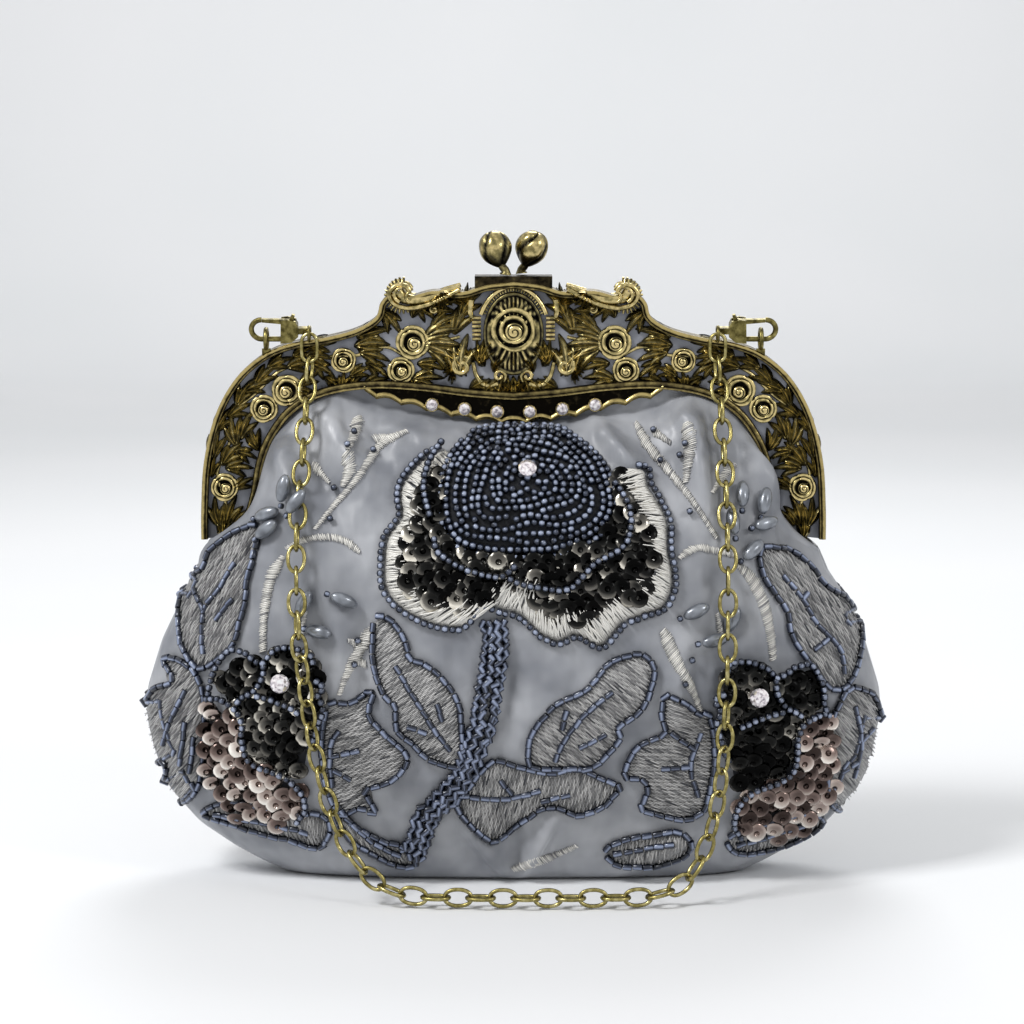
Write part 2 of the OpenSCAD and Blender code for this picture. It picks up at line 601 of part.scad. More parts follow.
// Strap: ears on the front half, a swivelling clasp at each end and a chain between them
ear_hole = 2.2;
ear_r = ear_hole + ear_wire_d / 2;
ear_x = 73.5 * frame_sx;
ear_depth = frame_front - 1.65;
ear_z = lookup(-ear_x, outer_left) + ear_r + ear_wire_d / 2 + 0.4;
clasp_tilt = 20;
module strap_ears() {
    color(chain_c) for (hand = [0, 1]) mirror([hand, 0, 0]) {
        translate([-ear_x, -ear_depth, ear_z]) rotate([0, 90, 0])
            rotate_extrude($fn = 40) translate([ear_r, 0]) circle(d = ear_wire_d, $fn = 20);
        difference() {
            translate([-ear_x - 1.2, -ear_depth - 1.4, ear_z - ear_r - ear_wire_d / 2 - 2.4])
                cube([2.4, 2.8, 3.2]);
            faced(frame_back - 1, frame_front + 1) polygon(outer_line);
        }
    }
}
// Clasp, drawn with the ear's middle at the origin, its length along X and its hook's loop above
loop_r = 3.1;
pivot = [7.2, 5.2];
clasp_pin_r = 0.45;
clasp_body_t = clasp_t + 0.6;
eye_x = 13;
eye_w = 2.8;
eye_hole = 1.6;
eye_wire = 1;
eye_back = eye_hole + eye_wire;
module clasp_body() {
    translate([-1.2, 0, 0]) rotate([0, 90, 0]) cylinder(d = clasp_wire_d, h = 6, $fn = 24);
    translate([-1.2, 0, loop_r]) rotate([90, 0, 0]) rotate([0, 0, 90])
        rotate_extrude(angle = 180, $fn = 40) translate([loop_r, 0]) circle(d = clasp_wire_d, $fn = 24);
    difference() {
        translate([0, clasp_body_t / 2, 0]) rotate([90, 0, 0]) linear_extrude(clasp_body_t)
            polygon([[4.3, -0.9], [7.6, -0.6], [9.6, 1.2], [9.6, 4.6], [8.9, 6.2], [6.6, 6.8], [4.6, 6.5]]);
        translate([3.8, -0.95, 3.5]) cube([5.1, 1.9, 6]);
        translate([pivot[0], 3, pivot[1]]) rotate([90, 0, 0]) cylinder(r = clasp_pin_r, h = 6, $fn = 24);
    }
    translate([9.4, -0.8, eye_w - 1]) cube([eye_x - 9.4 + eye_wire / 2, 1.6, 2]);
    translate([eye_x, -eye_back, eye_w]) rotate([0, 90, 0])
        rotate_extrude($fn = 40) translate([eye_hole + eye_wire / 2, 0]) circle(d = eye_wire, $fn = 20);
}
module clasp_lever() {
    lever_t = 1;
    translate([0, 0.1, 0]) rotate([90, 0, 0]) linear_extrude(lever_t) difference() {
        polygon([[-1.1, 5.7], [5.2, 5.1], [6, 4.2], [8.2, 4.2], [8.4, 6.2], [8.8, 8], [7.9, 8.2], [7.2, 6.8],
            [5.6, 6.6], [-1.1, 6.7]]);
        translate(pivot) circle(r = clasp_pin_r + pin_play, $fn = 24);
    }
}
module clasp_pin() {
    translate([pivot[0], clasp_body_t / 2, pivot[1]]) rotate([90, 0, 0])
        cylinder(r = clasp_pin_r, h = clasp_body_t, $fn = 24);
    translate([pivot[0], 0.5, pivot[1]]) rotate([90, 0, 0]) rotate_extrude($fn = 24)
        translate([clasp_pin_r + 0.2, 0]) circle(d = 0.4, $fn = 16);
}
module at_ear(hand) {
    mirror([hand, 0, 0]) translate([-ear_x, -ear_depth, ear_z]) rotate([clasp_tilt, 0, 0]) children();
}
module left_clasp() {
    color(chain_c) at_ear(0) clasp_body();
}
module right_clasp() {
    color(chain_c) at_ear(1) clasp_body();
}
module clasp_pins() {
    color(chain_c) for (hand = [0, 1]) at_ear(hand) clasp_pin();
}
module left_clasp_lever() {
    color(chain_c) at_ear(0) clasp_lever();
}
module right_clasp_lever() {
    color(chain_c) at_ear(1) clasp_lever();
}
// Axis on which the chain swings in the clasps' eyes
swing_x = ear_x - eye_x;
swing_y = -ear_depth - eye_back * cos(clasp_tilt) - eye_w * sin(clasp_tilt);
swing_z = ear_z - eye_back * sin(clasp_tilt) + eye_w * cos(clasp_tilt);
ring_l = 9.3;
ring_w = 5.7;
ring_d = 1.1;
module link(l, w, d) {
    straight = l - w;
    for (s = [0, 180]) rotate([0, 0, s]) {
        translate([straight / 2, 0, 0]) rotate([0, 0, -90])
            rotate_extrude(angle = 180, $fn = 24) translate([(w - d) / 2, 0]) circle(d = d, $fn = 16);
        translate([-straight / 2, (w - d) / 2, 0]) rotate([0, 90, 0]) cylinder(d = d, h = straight, $fn = 16);
    }
}
module jump_rings() {
    color(chain_c) for (hand = [-1, 1])
        translate([hand * swing_x, swing_y, swing_z - (ring_l - ring_d) / 2]) rotate([90, 90, 0])
            link(ring_l, ring_w, ring_d);
}
strand_x = 60.5;
first_drop = (ring_l - ring_d) / 2 + (ring_l / 2 - ring_d) + (link_l / 2 - link_d) - 0.5;
// Route of the chain, from the left ring round the front of the bag to the right ring, as the frame's width has it
chain_sx = swing_x / strand_x;
chain_route = concat(
    [[-swing_x, swing_y, swing_z - first_drop]],
    [for (q = [
        [-61, -10.6, 148], [-61.4, -14.8, 139], [-62, -20.5, 127], [-63, -26.5, 113], [-63.3, -32, 100],
        [-63, -36, 88], [-62.4, -38.5, 76], [-60.6, -40.5, 63.5], [-58.8, -42, 51], [-56, -43.5, 38],
        [-52, -45, 25], [-46, -47, 13.5], [-38, -49, 6], [-29, -50.5, 3.4], [-16, -51.5, 3.1], [0, -52, 3.1],
        [16, -52, 3.1], [30, -51.5, 3.1], [40, -50.5, 3.4], [48.4, -49, 6.4], [54.4, -47, 14],
        [58.6, -45, 27], [60.7, -43.4, 41], [61.6, -41.8, 54], [62, -40, 66], [62.2, -37.6, 79],
        [62.4, -34.4, 92], [62.4, -30, 105], [62.2, -24.5, 118], [61.8, -18.6, 131], [61.2, -13, 143],
        [60.8, -10, 149]
    ]) [q[0] * chain_sx, q[1], q[2]]],
    [[swing_x, swing_y, swing_z - first_drop]]
);
smooth_route = spline(chain_route, 6);
function run_length(p) = [
    for (i = 0, s = 0; i < len(p); s = s + (i < len(p) - 1 ? norm(p[i + 1] - p[i]) : 0), i = i + 1) s
];
route_run = run_length(smooth_route);
route_total = route_run[len(route_run) - 1];
link_gaps = ceil(route_total / link_pitch);
route_step = route_total / link_gaps;
function route_at(s) = [
    for (k = [0 : 2]) lookup(s, [for (i = [0 : len(smooth_route) - 1]) [route_run[i], smooth_route[i][k]]])
];
module links(first, last) {
    color(chain_c) for (i = [first : last]) {
        here = route_at(i * route_step);
        next = route_at(min(route_total, (i + 0.5) * route_step));
        along = unit(next - route_at(max(0, (i - 0.5) * route_step)));
        translate(here) rotate([(i % 2) * 90 + 90, -asin(along[2]), atan2(along[1], along[0])])
            link(link_l, link_w, link_d);
    }
}
left_end = floor(link_gaps * 0.39);
right_start = ceil(link_gaps * 0.6);
module left_strand() {
    links(0, left_end);
}
module bottom_run() {
    links(left_end + 1, right_start - 1);
}
module right_strand() {
    links(right_start, link_gaps);
}

module front_channel() {
    channel();
}
module front_openwork() {
    openwork();
}
module front_roses() {
    rose_heads();
}
module front_medallion() {
    medallion();
}
module front_backing() {
    backing();
}
module front_hinge_lugs() {
    lugs(lug_x - lug_t);
}
module front_lock_seat() {
    lock_seat();
}
module front_bud() {
    bud_and_stem();
}
module rear_channel() {
    mirror([0, 1, 0]) channel();
}
module rear_openwork() {
    mirror([0, 1, 0]) openwork();
}
module rear_roses() {
    mirror([0, 1, 0]) rose_heads();
}
module rear_medallion() {
    mirror([0, 1, 0]) medallion();
}
module rear_backing() {
    mirror([0, 1, 0]) backing();
}
module rear_panel() {
    mirror([0, 1, 0]) front_panel();
}
module rear_panel_lining() {
    mirror([0, 1, 0]) front_panel_lining();
}
module rear_hinge_lugs() {
    mirror([0, 1, 0]) lugs(lug_x - 2 * lug_t - lug_gap);
}
module rear_lock_seat() {
    mirror([0, 1, 0]) lock_seat();
}
module rear_bud() {
    rotate([0, 0, 180]) bud_and_stem();
}

satin_bag();
bag_lining();
base_board();
slip_pocket();
hinge_pins();
side_flower_pads();
front_leaf_pads();
rear_leaf_pads();
rose_stem();
lower_pearls();
side_gems();
front_channel();
front_openwork();
front_roses();
front_medallion();
front_apron();
apron_cups();
apron_gems();
front_backing();
front_panel();
front_panel_lining();
front_hinge_lugs();
strap_ears();
front_lock_seat();
upper_pearls();
centre_rose();
rose_gem();
rear_channel();
rear_openwork();
rear_roses();
rear_medallion();
rear_backing();
rear_panel();
rear_panel_lining();
rear_hinge_lugs();
rear_lock_seat();
rear_rose();
front_bud();
rear_bud();
left_clasp();
right_clasp();
clasp_pins();
left_clasp_lever();
right_clasp_lever();
jump_rings();
left_strand();
right_strand();
bottom_run();
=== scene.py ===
"""Looks of a beaded evening purse with a kiss lock frame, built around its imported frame.

Lengths in this script are millimetres, turned to metres by `MM` where a mesh is made.
X runs across the purse, the front faces -Y and +Z is up, as in the frame.
"""

import json
import logging
import random
from dataclasses import dataclass, field, replace
from enum import Enum
from itertools import product
from math import atan2, ceil, copysign, cos, exp, pi, radians, remainder, sin, sqrt
from typing import Callable, Iterable, Sequence

import bpy
from bpy.types import ID, Material, Mesh, Node, NodeSocket, NodeTree, Object
from mathutils import Matrix, Vector
from mathutils.bvhtree import BVHTree

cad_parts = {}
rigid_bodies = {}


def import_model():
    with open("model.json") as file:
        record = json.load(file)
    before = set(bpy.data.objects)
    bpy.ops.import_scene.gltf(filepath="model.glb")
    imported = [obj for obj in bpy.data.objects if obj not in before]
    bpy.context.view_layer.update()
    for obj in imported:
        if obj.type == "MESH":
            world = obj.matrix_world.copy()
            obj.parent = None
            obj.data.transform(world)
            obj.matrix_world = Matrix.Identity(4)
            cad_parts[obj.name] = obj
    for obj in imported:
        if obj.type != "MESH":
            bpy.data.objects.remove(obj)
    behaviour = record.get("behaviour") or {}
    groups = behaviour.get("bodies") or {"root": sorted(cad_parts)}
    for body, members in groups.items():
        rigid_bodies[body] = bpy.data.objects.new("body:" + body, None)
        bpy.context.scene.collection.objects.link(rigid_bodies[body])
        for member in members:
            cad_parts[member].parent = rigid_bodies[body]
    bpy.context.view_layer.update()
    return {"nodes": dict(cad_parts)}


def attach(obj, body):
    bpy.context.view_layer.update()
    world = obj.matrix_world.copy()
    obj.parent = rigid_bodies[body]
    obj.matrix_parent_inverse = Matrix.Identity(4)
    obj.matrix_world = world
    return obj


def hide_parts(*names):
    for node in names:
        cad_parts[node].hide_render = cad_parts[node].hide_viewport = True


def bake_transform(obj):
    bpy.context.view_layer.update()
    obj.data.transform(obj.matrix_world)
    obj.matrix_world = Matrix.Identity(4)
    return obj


MM = 0.001
Point = tuple[float, float]
Outline = Sequence[Point]
Seat = tuple[Vector, Vector]
log = logging.getLogger("purse")


# Small helpers for numbers, curves and meshes


def blend(a: float, b: float, t: float) -> float:
    """Value between a and b at share t."""
    return a + (b - a) * t


def smooth(t: float) -> float:
    """Soft step from 0 to 1."""
    t = min(1.0, max(0.0, t))
    return t * t * (3 - 2 * t)


def table(x: float, rows: Outline) -> float:
    """Value read at x from rows of (x, value) in rising order.

    Args:
        x: where to read.
        rows: pairs of place and value.

    Returns:
        The value, straight between two rows.
    """
    if x <= rows[0][0]:
        return rows[0][1]
    for (xa, a), (xb, b) in zip(rows, rows[1:]):
        if x <= xb:
            return blend(a, b, (x - xa) / (xb - xa))
    return rows[-1][1]


def spline(points: Sequence[Sequence[float]], steps: int, closed: bool = False) -> list[Vector]:
    """Smooth curve through points.

    Args:
        points: given points of 2 or 3 numbers.
        steps: how many pieces lie between two points.
        closed: whether the curve runs back to its start.

    Returns:
        The curve's points, as vectors of the same size.
    """
    p = [Vector(q) for q in points]
    n = len(p)
    out: list[Vector] = []
    for i in range(n if closed else n - 1):
        a, b = (p[(i - 1) % n], p[i]) if closed else (p[max(i - 1, 0)], p[i])
        c, d = (p[(i + 1) % n], p[(i + 2) % n]) if closed else (p[i + 1], p[min(i + 2, n - 1)])
        for k in range(steps):
            t = k / steps
            out.append(0.5 * (2 * b + (c - a) * t + (2 * a - 5 * b + 4 * c - d) * t * t
                              + (3 * b - a - 3 * c + d) * t ** 3))
    if not closed:
        out.append(p[-1].copy())
    return out


def resampled(line: Sequence[Vector], pitch: float) -> list[Vector]:
    """Points spaced evenly along a line, about pitch apart.

    Args:
        line: points of the line.
        pitch: about how far apart the new points lie.

    Returns:
        The new points.
    """
    runs = [0.0]
    for a, b in zip(line, line[1:]):
        runs.append(runs[-1] + (b - a).length)
    count = max(1, round(runs[-1] / pitch))
    out, k = [], 0
    for i in range(count + 1):
        s = runs[-1] * i / count
        while k < len(runs) - 2 and runs[k + 1] < s:
            k += 1
        span = max(1e-9, runs[k + 1] - runs[k])
        out.append(line[k].lerp(line[k + 1], min(1.0, (s - runs[k]) / span)))
    return out


def beside(line: Sequence[Vector], d: float) -> list[Vector]:
    """An open flat line moved sideways by d, to its right.

    Args:
        line: points of the line.
        d: how far to move it.

    Returns:
        The moved points, as many as before.
    """
    out = []
    for i, q in enumerate(line):
        t = (line[min(i + 1, len(line) - 1)] - line[max(i - 1, 0)]).normalized()
        out.append(Vector((q.x + d * t.y, q.y - d * t.x)))
    return out


def inside(x: float, z: float, outline: Outline) -> bool:
    """Whether a place lies within a closed outline.

    Args:
        x: place across.
        z: place up or down.
        outline: corners of the outline.

    Returns:
        True within it.
    """
    hit = False
    for (xa, za), (xb, zb) in zip(outline, list(outline[1:]) + [outline[0]]):
        if (za > z) != (zb > z) and x < (xb - xa) * (z - za) / (zb - za) + xa:
            hit = not hit
    return hit


def circle(sides: int) -> list[float]:
    """Evenly spaced angles all the way round."""
    return [2 * pi * k / sides for k in range(sides)]


def polar(radius: float, turn: float, squash: float = 1.0) -> Vector:
    """A flat vector of a length, at a turn in radians, its second number squashed."""
    return Vector((radius * cos(turn), radius * squash * sin(turn)))


def store(mesh: Mesh, name: str, values: Sequence[float], kind: str = "FLOAT") -> None:
    """Writes one attribute on a mesh's points."""
    data = mesh.attributes.new(name, kind, "POINT").data
    data.foreach_set("vector" if kind == "FLOAT_VECTOR" else "value", values)


def linked(name: str, data: ID) -> Object:
    """A new object in the scene that shows some data."""
    obj = bpy.data.objects.new(name, data)
    bpy.context.scene.collection.objects.link(obj)
    return obj


class Shape:
    """A mesh being built: points in millimetres, faces, and one number per point: the relief that sets the
    patina on brass, and on beads and sequins a painted highlight and painted shade.
    """

    def __init__(self) -> None:
        """Starts empty."""
        self.points: list[Vector] = []
        self.faces: list[tuple[int, ...]] = []
        self.relief_and_painted_light: list[float] = []

    def add(self, points: Iterable[Sequence[float]], faces: Iterable[Sequence[int]],
            relief_and_painted_light: Sequence[float] | float = 1.0) -> None:
        """Adds a piece of mesh.

        Args:
            points: places in millimetres.
            faces: corners of each face, counted from the first of the points.
            relief_and_painted_light: one number for all points, or one for each.
        """
        first = len(self.points)
        fresh = [Vector(p) for p in points]
        self.points += fresh
        self.faces += [tuple(first + i for i in f) for f in faces]
        self.relief_and_painted_light += [relief_and_painted_light] * len(fresh) if isinstance(relief_and_painted_light, (int, float)) else list(relief_and_painted_light)

    def grid(self, rows: Sequence[Sequence[Sequence[float]]], relief_and_painted_light: Sequence[Sequence[float]] | None = None,
             wrap: bool = False, ends: bool = False, loop: bool = False) -> None:
        """Adds a sheet of quads.

        Args:
            rows: rows of points, all of one length.
            relief_and_painted_light: one number for each point; 1 everywhere when left out.
            wrap: closes each row on itself.
            ends: closes the first and the last row with a face.
            loop: joins the last row to the first.
        """
        n, count = len(rows[0]), len(rows)
        faces = []
        for r in range(count if loop else count - 1):
            a, b = r * n, (r + 1) % count * n
            for c in range(n if wrap else n - 1):
                d = (c + 1) % n
                faces.append((a + c, a + d, b + d, b + c))
        if ends:
            faces += [tuple(reversed(range(n))), tuple((count - 1) * n + k for k in range(n))]
        flat = [v for row in relief_and_painted_light for v in row] if relief_and_painted_light else 1.0
        self.add([p for row in rows for p in row], faces, flat)

    def tube(self, line: Sequence[Vector], radii: Sequence[float] | float, sides: int = 8,
             closed: bool = False, relief_and_painted_light: float = 1.0) -> None:
        """Adds a round tube along a 3-D line.

        Args:
            line: middle points.
            radii: one radius for all points, or one for each.
            sides: faces round the tube.
            closed: joins the last point to the first; the ends are closed otherwise.
            relief_and_painted_light: the number stored on every point.
        """
        n = len(line)
        wide = [radii] * n if isinstance(radii, (int, float)) else radii
        up = Vector((0.13, -0.97, 0.21))
        rings = []
        for i, q in enumerate(line):
            a = line[(i - 1) % n] if closed else line[max(i - 1, 0)]
            b = line[(i + 1) % n] if closed else line[min(i + 1, n - 1)]
            t = (b - a).normalized()
            side = t.cross(up)
            side = side.normalized() if side.length > 1e-6 else t.orthogonal().normalized()
            up = side.cross(t).normalized()
            rings.append([q + wide[i] * (cos(w) * side + sin(w) * up) for w in circle(sides)])
        self.grid(rings, [[relief_and_painted_light] * sides] * n, True, not closed, closed)

    def facing(self, side: "Side") -> "Shape":
        """The shape itself for the front, its mirror image for the rear."""
        return self if side is Side.FRONT else self.flipped_y()

    def flipped_y(self) -> "Shape":
        """The same shape mirrored to the purse's other side."""
        out = Shape()
        points = [(p.x, -p.y, p.z) for p in self.points]
        out.add(points, [tuple(reversed(f)) for f in self.faces], self.relief_and_painted_light)
        return out

    def build(self, name: str, material: Material, smooth_angle: float = 40.0) -> Object:
        """Makes the Blender object.

        Args:
            name: the piece's name.
            material: its finish.
            smooth_angle: edges sharper than this many degrees stay crisp.

        Returns:
            The new object, at the origin.
        """
        mesh = bpy.data.meshes.new(name)
        mesh.from_pydata([p * MM for p in self.points], [], self.faces)
        mesh.validate()
        store(mesh, "relief_and_painted_light", self.relief_and_painted_light)
        mesh.materials.append(material)
        obj = linked(name, mesh)
        mesh.shade_smooth()
        mesh.set_sharp_from_angle(angle=radians(smooth_angle))
        return obj


def ride(obj: Object, body: str, replaced: Sequence[str] = ()) -> Object:
    """Hangs a piece on a body and the CAD nodes that it stands for.

    Args:
        obj: the piece.
        body: what it moves with.
        replaced: nodes that it stands for.

    Returns:
        The piece.
    """
    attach(obj, body)
    if replaced:
        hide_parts(*replaced)
    log.info("%s rides on %s with %d faces", obj.name, body, len(obj.data.polygons))
    return obj


# Finishes


def srgb(code: str) -> tuple[float, float, float, float]:
    """Linear colour, with alpha 1, of an sRGB hex value."""
    parts = [int(code.lstrip("#")[i:i + 2], 16) / 255 for i in (0, 2, 4)]
    linear = [c / 12.92 if c <= 0.04045 else ((c + 0.055) / 1.055) ** 2.4 for c in parts]
    return (linear[0], linear[1], linear[2], 1.0)


def add_node(tree: NodeTree, kind: str, settings: dict | None = None,
             inputs: dict | None = None) -> Node:
    """Adds one node.

    Args:
        tree: the tree that takes it.
        kind: the node's type name.
        settings: attributes to set on the node.
        inputs: socket name or number to a value, or to the output socket that feeds it.

    Returns:
        The node.
    """
    node = tree.nodes.new(kind)
    for key, value in (settings or {}).items():
        setattr(node, key, value)
    for key, value in (inputs or {}).items():
        if isinstance(value, NodeSocket):
            tree.links.new(value, node.inputs[key])
        else:
            node.inputs[key].default_value = value
    return node


class Finish:
    """A material under construction: its tree, its shader and its Object coordinates."""

    def __init__(self, name: str, **shader: float | tuple) -> None:
        """Starts a material whose shader sockets are set by name, underscores for blanks."""
        self.material = bpy.data.materials.new(name)
        self.material.use_nodes = True
        self.tree = self.material.node_tree
        self.shader = self.tree.nodes["Principled BSDF"]
        for key, value in shader.items():
            self.shader.inputs[key.replace("_", " ")].default_value = value
        self.place = self.add("ShaderNodeTexCoord").outputs["Object"]

    def add(self, kind: str, settings: dict | None = None, inputs: dict | None = None) -> Node:
        """Adds a node to this material."""
        return add_node(self.tree, kind, settings, inputs)

    def noise(self, size_mm: float, detail: float = 3.0, stretch: tuple = (1, 1, 1)) -> NodeSocket:
        """Noise whose blotches are about size_mm across, stretched along the axes.

        Args:
            size_mm: width of a blotch.
            detail: octaves.
            stretch: scale along each axis.

        Returns:
            The noise, from 0 to 1.
        """
        spot = self.add("ShaderNodeMapping", inputs={0: self.place, "Scale": stretch})
        made = self.add("ShaderNodeTexNoise", inputs={"Vector": spot.outputs[0], "Scale": 1 / (size_mm * MM),
                                                      "Detail": detail, "Roughness": 0.55})
        return made.outputs["Fac"]

    def ramp(self, fac: NodeSocket, stops: Sequence[tuple[float, str]]) -> NodeSocket:
        """Colour read from a ramp of (place, hex) stops.

        Args:
            fac: where to read the ramp.
            stops: places and hex colours.

        Returns:
            The colour.
        """
        made = self.add("ShaderNodeValToRGB", inputs={0: fac})
        while len(made.color_ramp.elements) < len(stops):
            made.color_ramp.elements.new(0.5)
        for element, (place, code) in zip(made.color_ramp.elements, stops):
            element.position = place
            element.color = srgb(code)
        return made.outputs["Color"]

    def span(self, fac: NodeSocket, low: float, high: float, start: float = 0.0,
             end: float = 1.0) -> NodeSocket:
        """The factor, read from start to end, as a number from low to high."""
        made = self.add("ShaderNodeMapRange", inputs={0: fac, 1: start, 2: end, 3: low, 4: high})
        return made.outputs[0]

    def maths(self, kind: str, a: NodeSocket | float, b: NodeSocket | float) -> NodeSocket:
        """Result of one arithmetic step."""
        return self.add("ShaderNodeMath", {"operation": kind}, {0: a, 1: b}).outputs[0]

    def bump(self, height: NodeSocket, depth_mm: float, strength: float = 1.0,
             under: NodeSocket | None = None) -> NodeSocket:
        """Normal of a surface that is depth_mm high where height is 1.

        Args:
            height: the raised pattern.
            depth_mm: its height where it is 1.
            strength: its share.
            under: a normal to add to.

        Returns:
            The normal.
        """
        inputs = {"Height": height, "Distance": depth_mm * MM, "Strength": strength}
        if under:
            inputs["Normal"] = under
        return self.add("ShaderNodeBump", inputs=inputs).outputs[0]

    def colour(self, socket: NodeSocket) -> None:
        """Feeds the base colour."""
        self.tree.links.new(socket, self.shader.inputs["Base Color"])

    def rough(self, socket: NodeSocket) -> None:
        """Feeds the roughness."""
        self.tree.links.new(socket, self.shader.inputs["Roughness"])

    def normal(self, socket: NodeSocket) -> None:
        """Feeds the normal."""
        self.tree.links.new(socket, self.shader.inputs["Normal"])

    def attribute(self, name: str) -> NodeSocket:
        """A number stored on the mesh's points."""
        return self.add("ShaderNodeAttribute", {"attribute_name": name}).outputs["Fac"]


class Palette:
    """Every finish of the purse, made once."""

    def __init__(self) -> None:
        """Makes the finishes."""
        self.satin = self.duchess_satin("duchess_satin", "#777a81", "#a6a8ad")
        self.backing = self.duchess_satin("backing_satin", "#777a83", "#979aa3")
        self.lining = self.taffeta()
        self.cast_brass = self.antique_brass(
            "antiqued_cast_brass", ("#0b0a08", "#3b3729", "#82784f", "#d0bd86"), 0.27)
        self.rim_brass = self.antique_brass(
            "antiqued_rolled_brass", ("#0d0b08", "#383122", "#756942", "#ab9a66"), 0.3)
        self.chain_brass = self.antique_brass(
            "antiqued_chain_brass", ("#1b180c", "#4f4827", "#8c8250", "#bdb382"), 0.28)
        self.seed = self.bead_glass("hematite_seed_beads", ("#05070d", "#1f2739", "#aab4cb"))
        self.bugle = self.bead_glass("hematite_bugle_beads", ("#05070c", "#1a2133", "#8e99b3"))
        self.dark_sequin = self.foil("gunmetal_sequins", ("#060606", "#222221", "#6d6a64", "#ece6d8"))
        self.rose_sequin = self.foil("silver_pink_sequins", ("#352c29", "#7b6b65", "#c2b5ac", "#fdf7ee"))
        self.silver_thread = self.floss("silver_floss", "#6f6f73", "#e2e0da")
        self.grey_thread = self.floss("grey_floss", "#33353b", "#b9b8b7")
        self.felt = self.dark_felt()
        self.pearl = self.pearl_coat()
        self.crystal = self.cut_glass()
        self.board = self.grey_board()

    def duchess_satin(self, name: str, dark: str, light: str) -> Material:
        """Heavy polyester satin: a floated weave gives long soft highlights and a fine cross grain.

        Args:
            name: the material's name.
            dark: darker hex colour.
            light: lighter one.

        Returns:
            The material.
        """
        f = Finish(name, Metallic=0.0, Roughness=0.36, Sheen_Weight=0.08, Sheen_Roughness=0.35,
                   Sheen_Tint=srgb("#cfd1d6"), Anisotropic=0.35)
        # Painted sheen and shade: soft lighter and darker blotches about 26 mm across stand in for the
        # satin's changing sheen.
        cloud = f.noise(26.0, 3.0)
        f.colour(f.ramp(cloud, [(0.36, dark), (0.64, light)]))
        f.rough(f.span(f.noise(9.0, 2.0), 0.34, 0.48, 0.3, 0.7))
        # Real floats lie 0.1 mm apart; they are drawn at 0.35 mm so that they show
        grain = f.noise(0.35, 2.0, (0.25, 1, 1))
        slub = f.noise(1.6, 2.0, (1, 1, 0.2))
        crumple = f.noise(15.0, 2.0, (1, 1, 0.6))
        f.normal(f.bump(grain, 0.035, 0.6, f.bump(slub, 0.06, 0.5, f.bump(crumple, 5.0, 1.0))))
        return f.material

    def taffeta(self) -> Material:
        """Plain woven lining: crisp and dull beside the satin."""
        f = Finish("taffeta_lining", Roughness=0.62, Sheen_Weight=0.2)
        f.colour(f.ramp(f.noise(12.0), [(0.3, "#a9acb1"), (0.7, "#c6c8cc")]))
        weave = f.maths("MULTIPLY", f.noise(0.5, 1.0, (1, 1, 0.15)), f.noise(0.5, 1.0, (0.15, 1, 1)))
        f.normal(f.bump(weave, 0.06, 0.7))
        return f.material

    def antique_brass(self, name: str, tones: tuple[str, str, str, str], rough: float) -> Material:
        """Cast brass, blackened and rubbed back: black stays in the hollows, the high places are polished.

        Args:
            name: the material's name.
            tones: colours from the hollows up.
            rough: roughness of the rubbed metal.

        Returns:
            The material.
        """
        f = Finish(name, Metallic=1.0, Roughness=rough)
        ramp_place = f.maths("ADD", f.attribute("relief_and_painted_light"), f.span(f.noise(1.8, 4.0), -0.28, 0.28, 0.25, 0.75))
        f.colour(f.ramp(ramp_place, [(0.12, tones[0]), (0.4, tones[1]), (0.74, tones[2]), (1.0, tones[3])]))
        f.rough(f.span(ramp_place, rough + 0.22, rough - 0.08))
        f.normal(f.bump(f.noise(0.6, 3.0), 0.05, 0.5))
        return f.material

    def bead_glass(self, name: str, tones: tuple[str, str, str]) -> Material:
        """Pressed glass with a hematite coat: near black, with a blue sheen and a hard bright spot; the base
        colour adds a painted highlight along each bead's crown.

        Args:
            name: the material's name.
            tones: colours from the dark sides up to the painted highlight on the crown.

        Returns:
            The material.
        """
        f = Finish(name, Roughness=0.3, Specular_Tint=srgb("#d3dcf2"), Specular_IOR_Level=0.4,
                   Coat_Weight=0.5, Coat_Roughness=0.12)
        # Painted highlight: the crown that faces out of the cloth is lightened in the base colour, and each
        # bead's random tone is added to it.
        crown = f.maths("MULTIPLY", f.attribute("relief_and_painted_light"), 0.72)
        ramp_place = f.maths("ADD", crown, f.span(f.attribute("tone"), -0.1, 0.24))
        f.colour(f.ramp(ramp_place, [(0.04, tones[0]), (0.42, tones[1]), (0.84, tones[2])]))
        return f.material

    def foil(self, name: str, tones: tuple[str, str, str, str]) -> Material:
        """Metallised film, punched and cupped: each disc has its own random tone, which partly paints the
        reflections that differ from disc to disc, and a painted highlight on its lower lip.

        Args:
            name: the material's name.
            tones: colours from the painted shade on the upper lip up to the painted highlight.

        Returns:
            The material.
        """
        f = Finish(name, Metallic=0.95, Roughness=0.2)
        # Painted light: the template's numbers give the lower lip a painted highlight and the upper lip
        # painted shade; the disc's random tone is added.
        lip = f.maths("MULTIPLY", f.attribute("relief_and_painted_light"), 0.62)
        shine = f.maths("ADD", lip, f.span(f.attribute("tone"), -0.2, 0.46))
        f.colour(f.ramp(shine, [(0.08, tones[0]), (0.38, tones[1]), (0.66, tones[2]), (0.95, tones[3])]))
        f.normal(f.bump(f.noise(1.2, 2.0), 0.03, 0.4))
        return f.material

    def floss(self, name: str, dark: str, light: str) -> Material:
        """Rayon embroidery floss: smooth filaments with a bright silky streak, each stitch its own tone."""
        f = Finish(name, Roughness=0.36, Metallic=0.1, Sheen_Weight=0.15)
        f.colour(f.ramp(f.attribute("tone"), [(0.05, dark), (0.8, light)]))
        return f.material

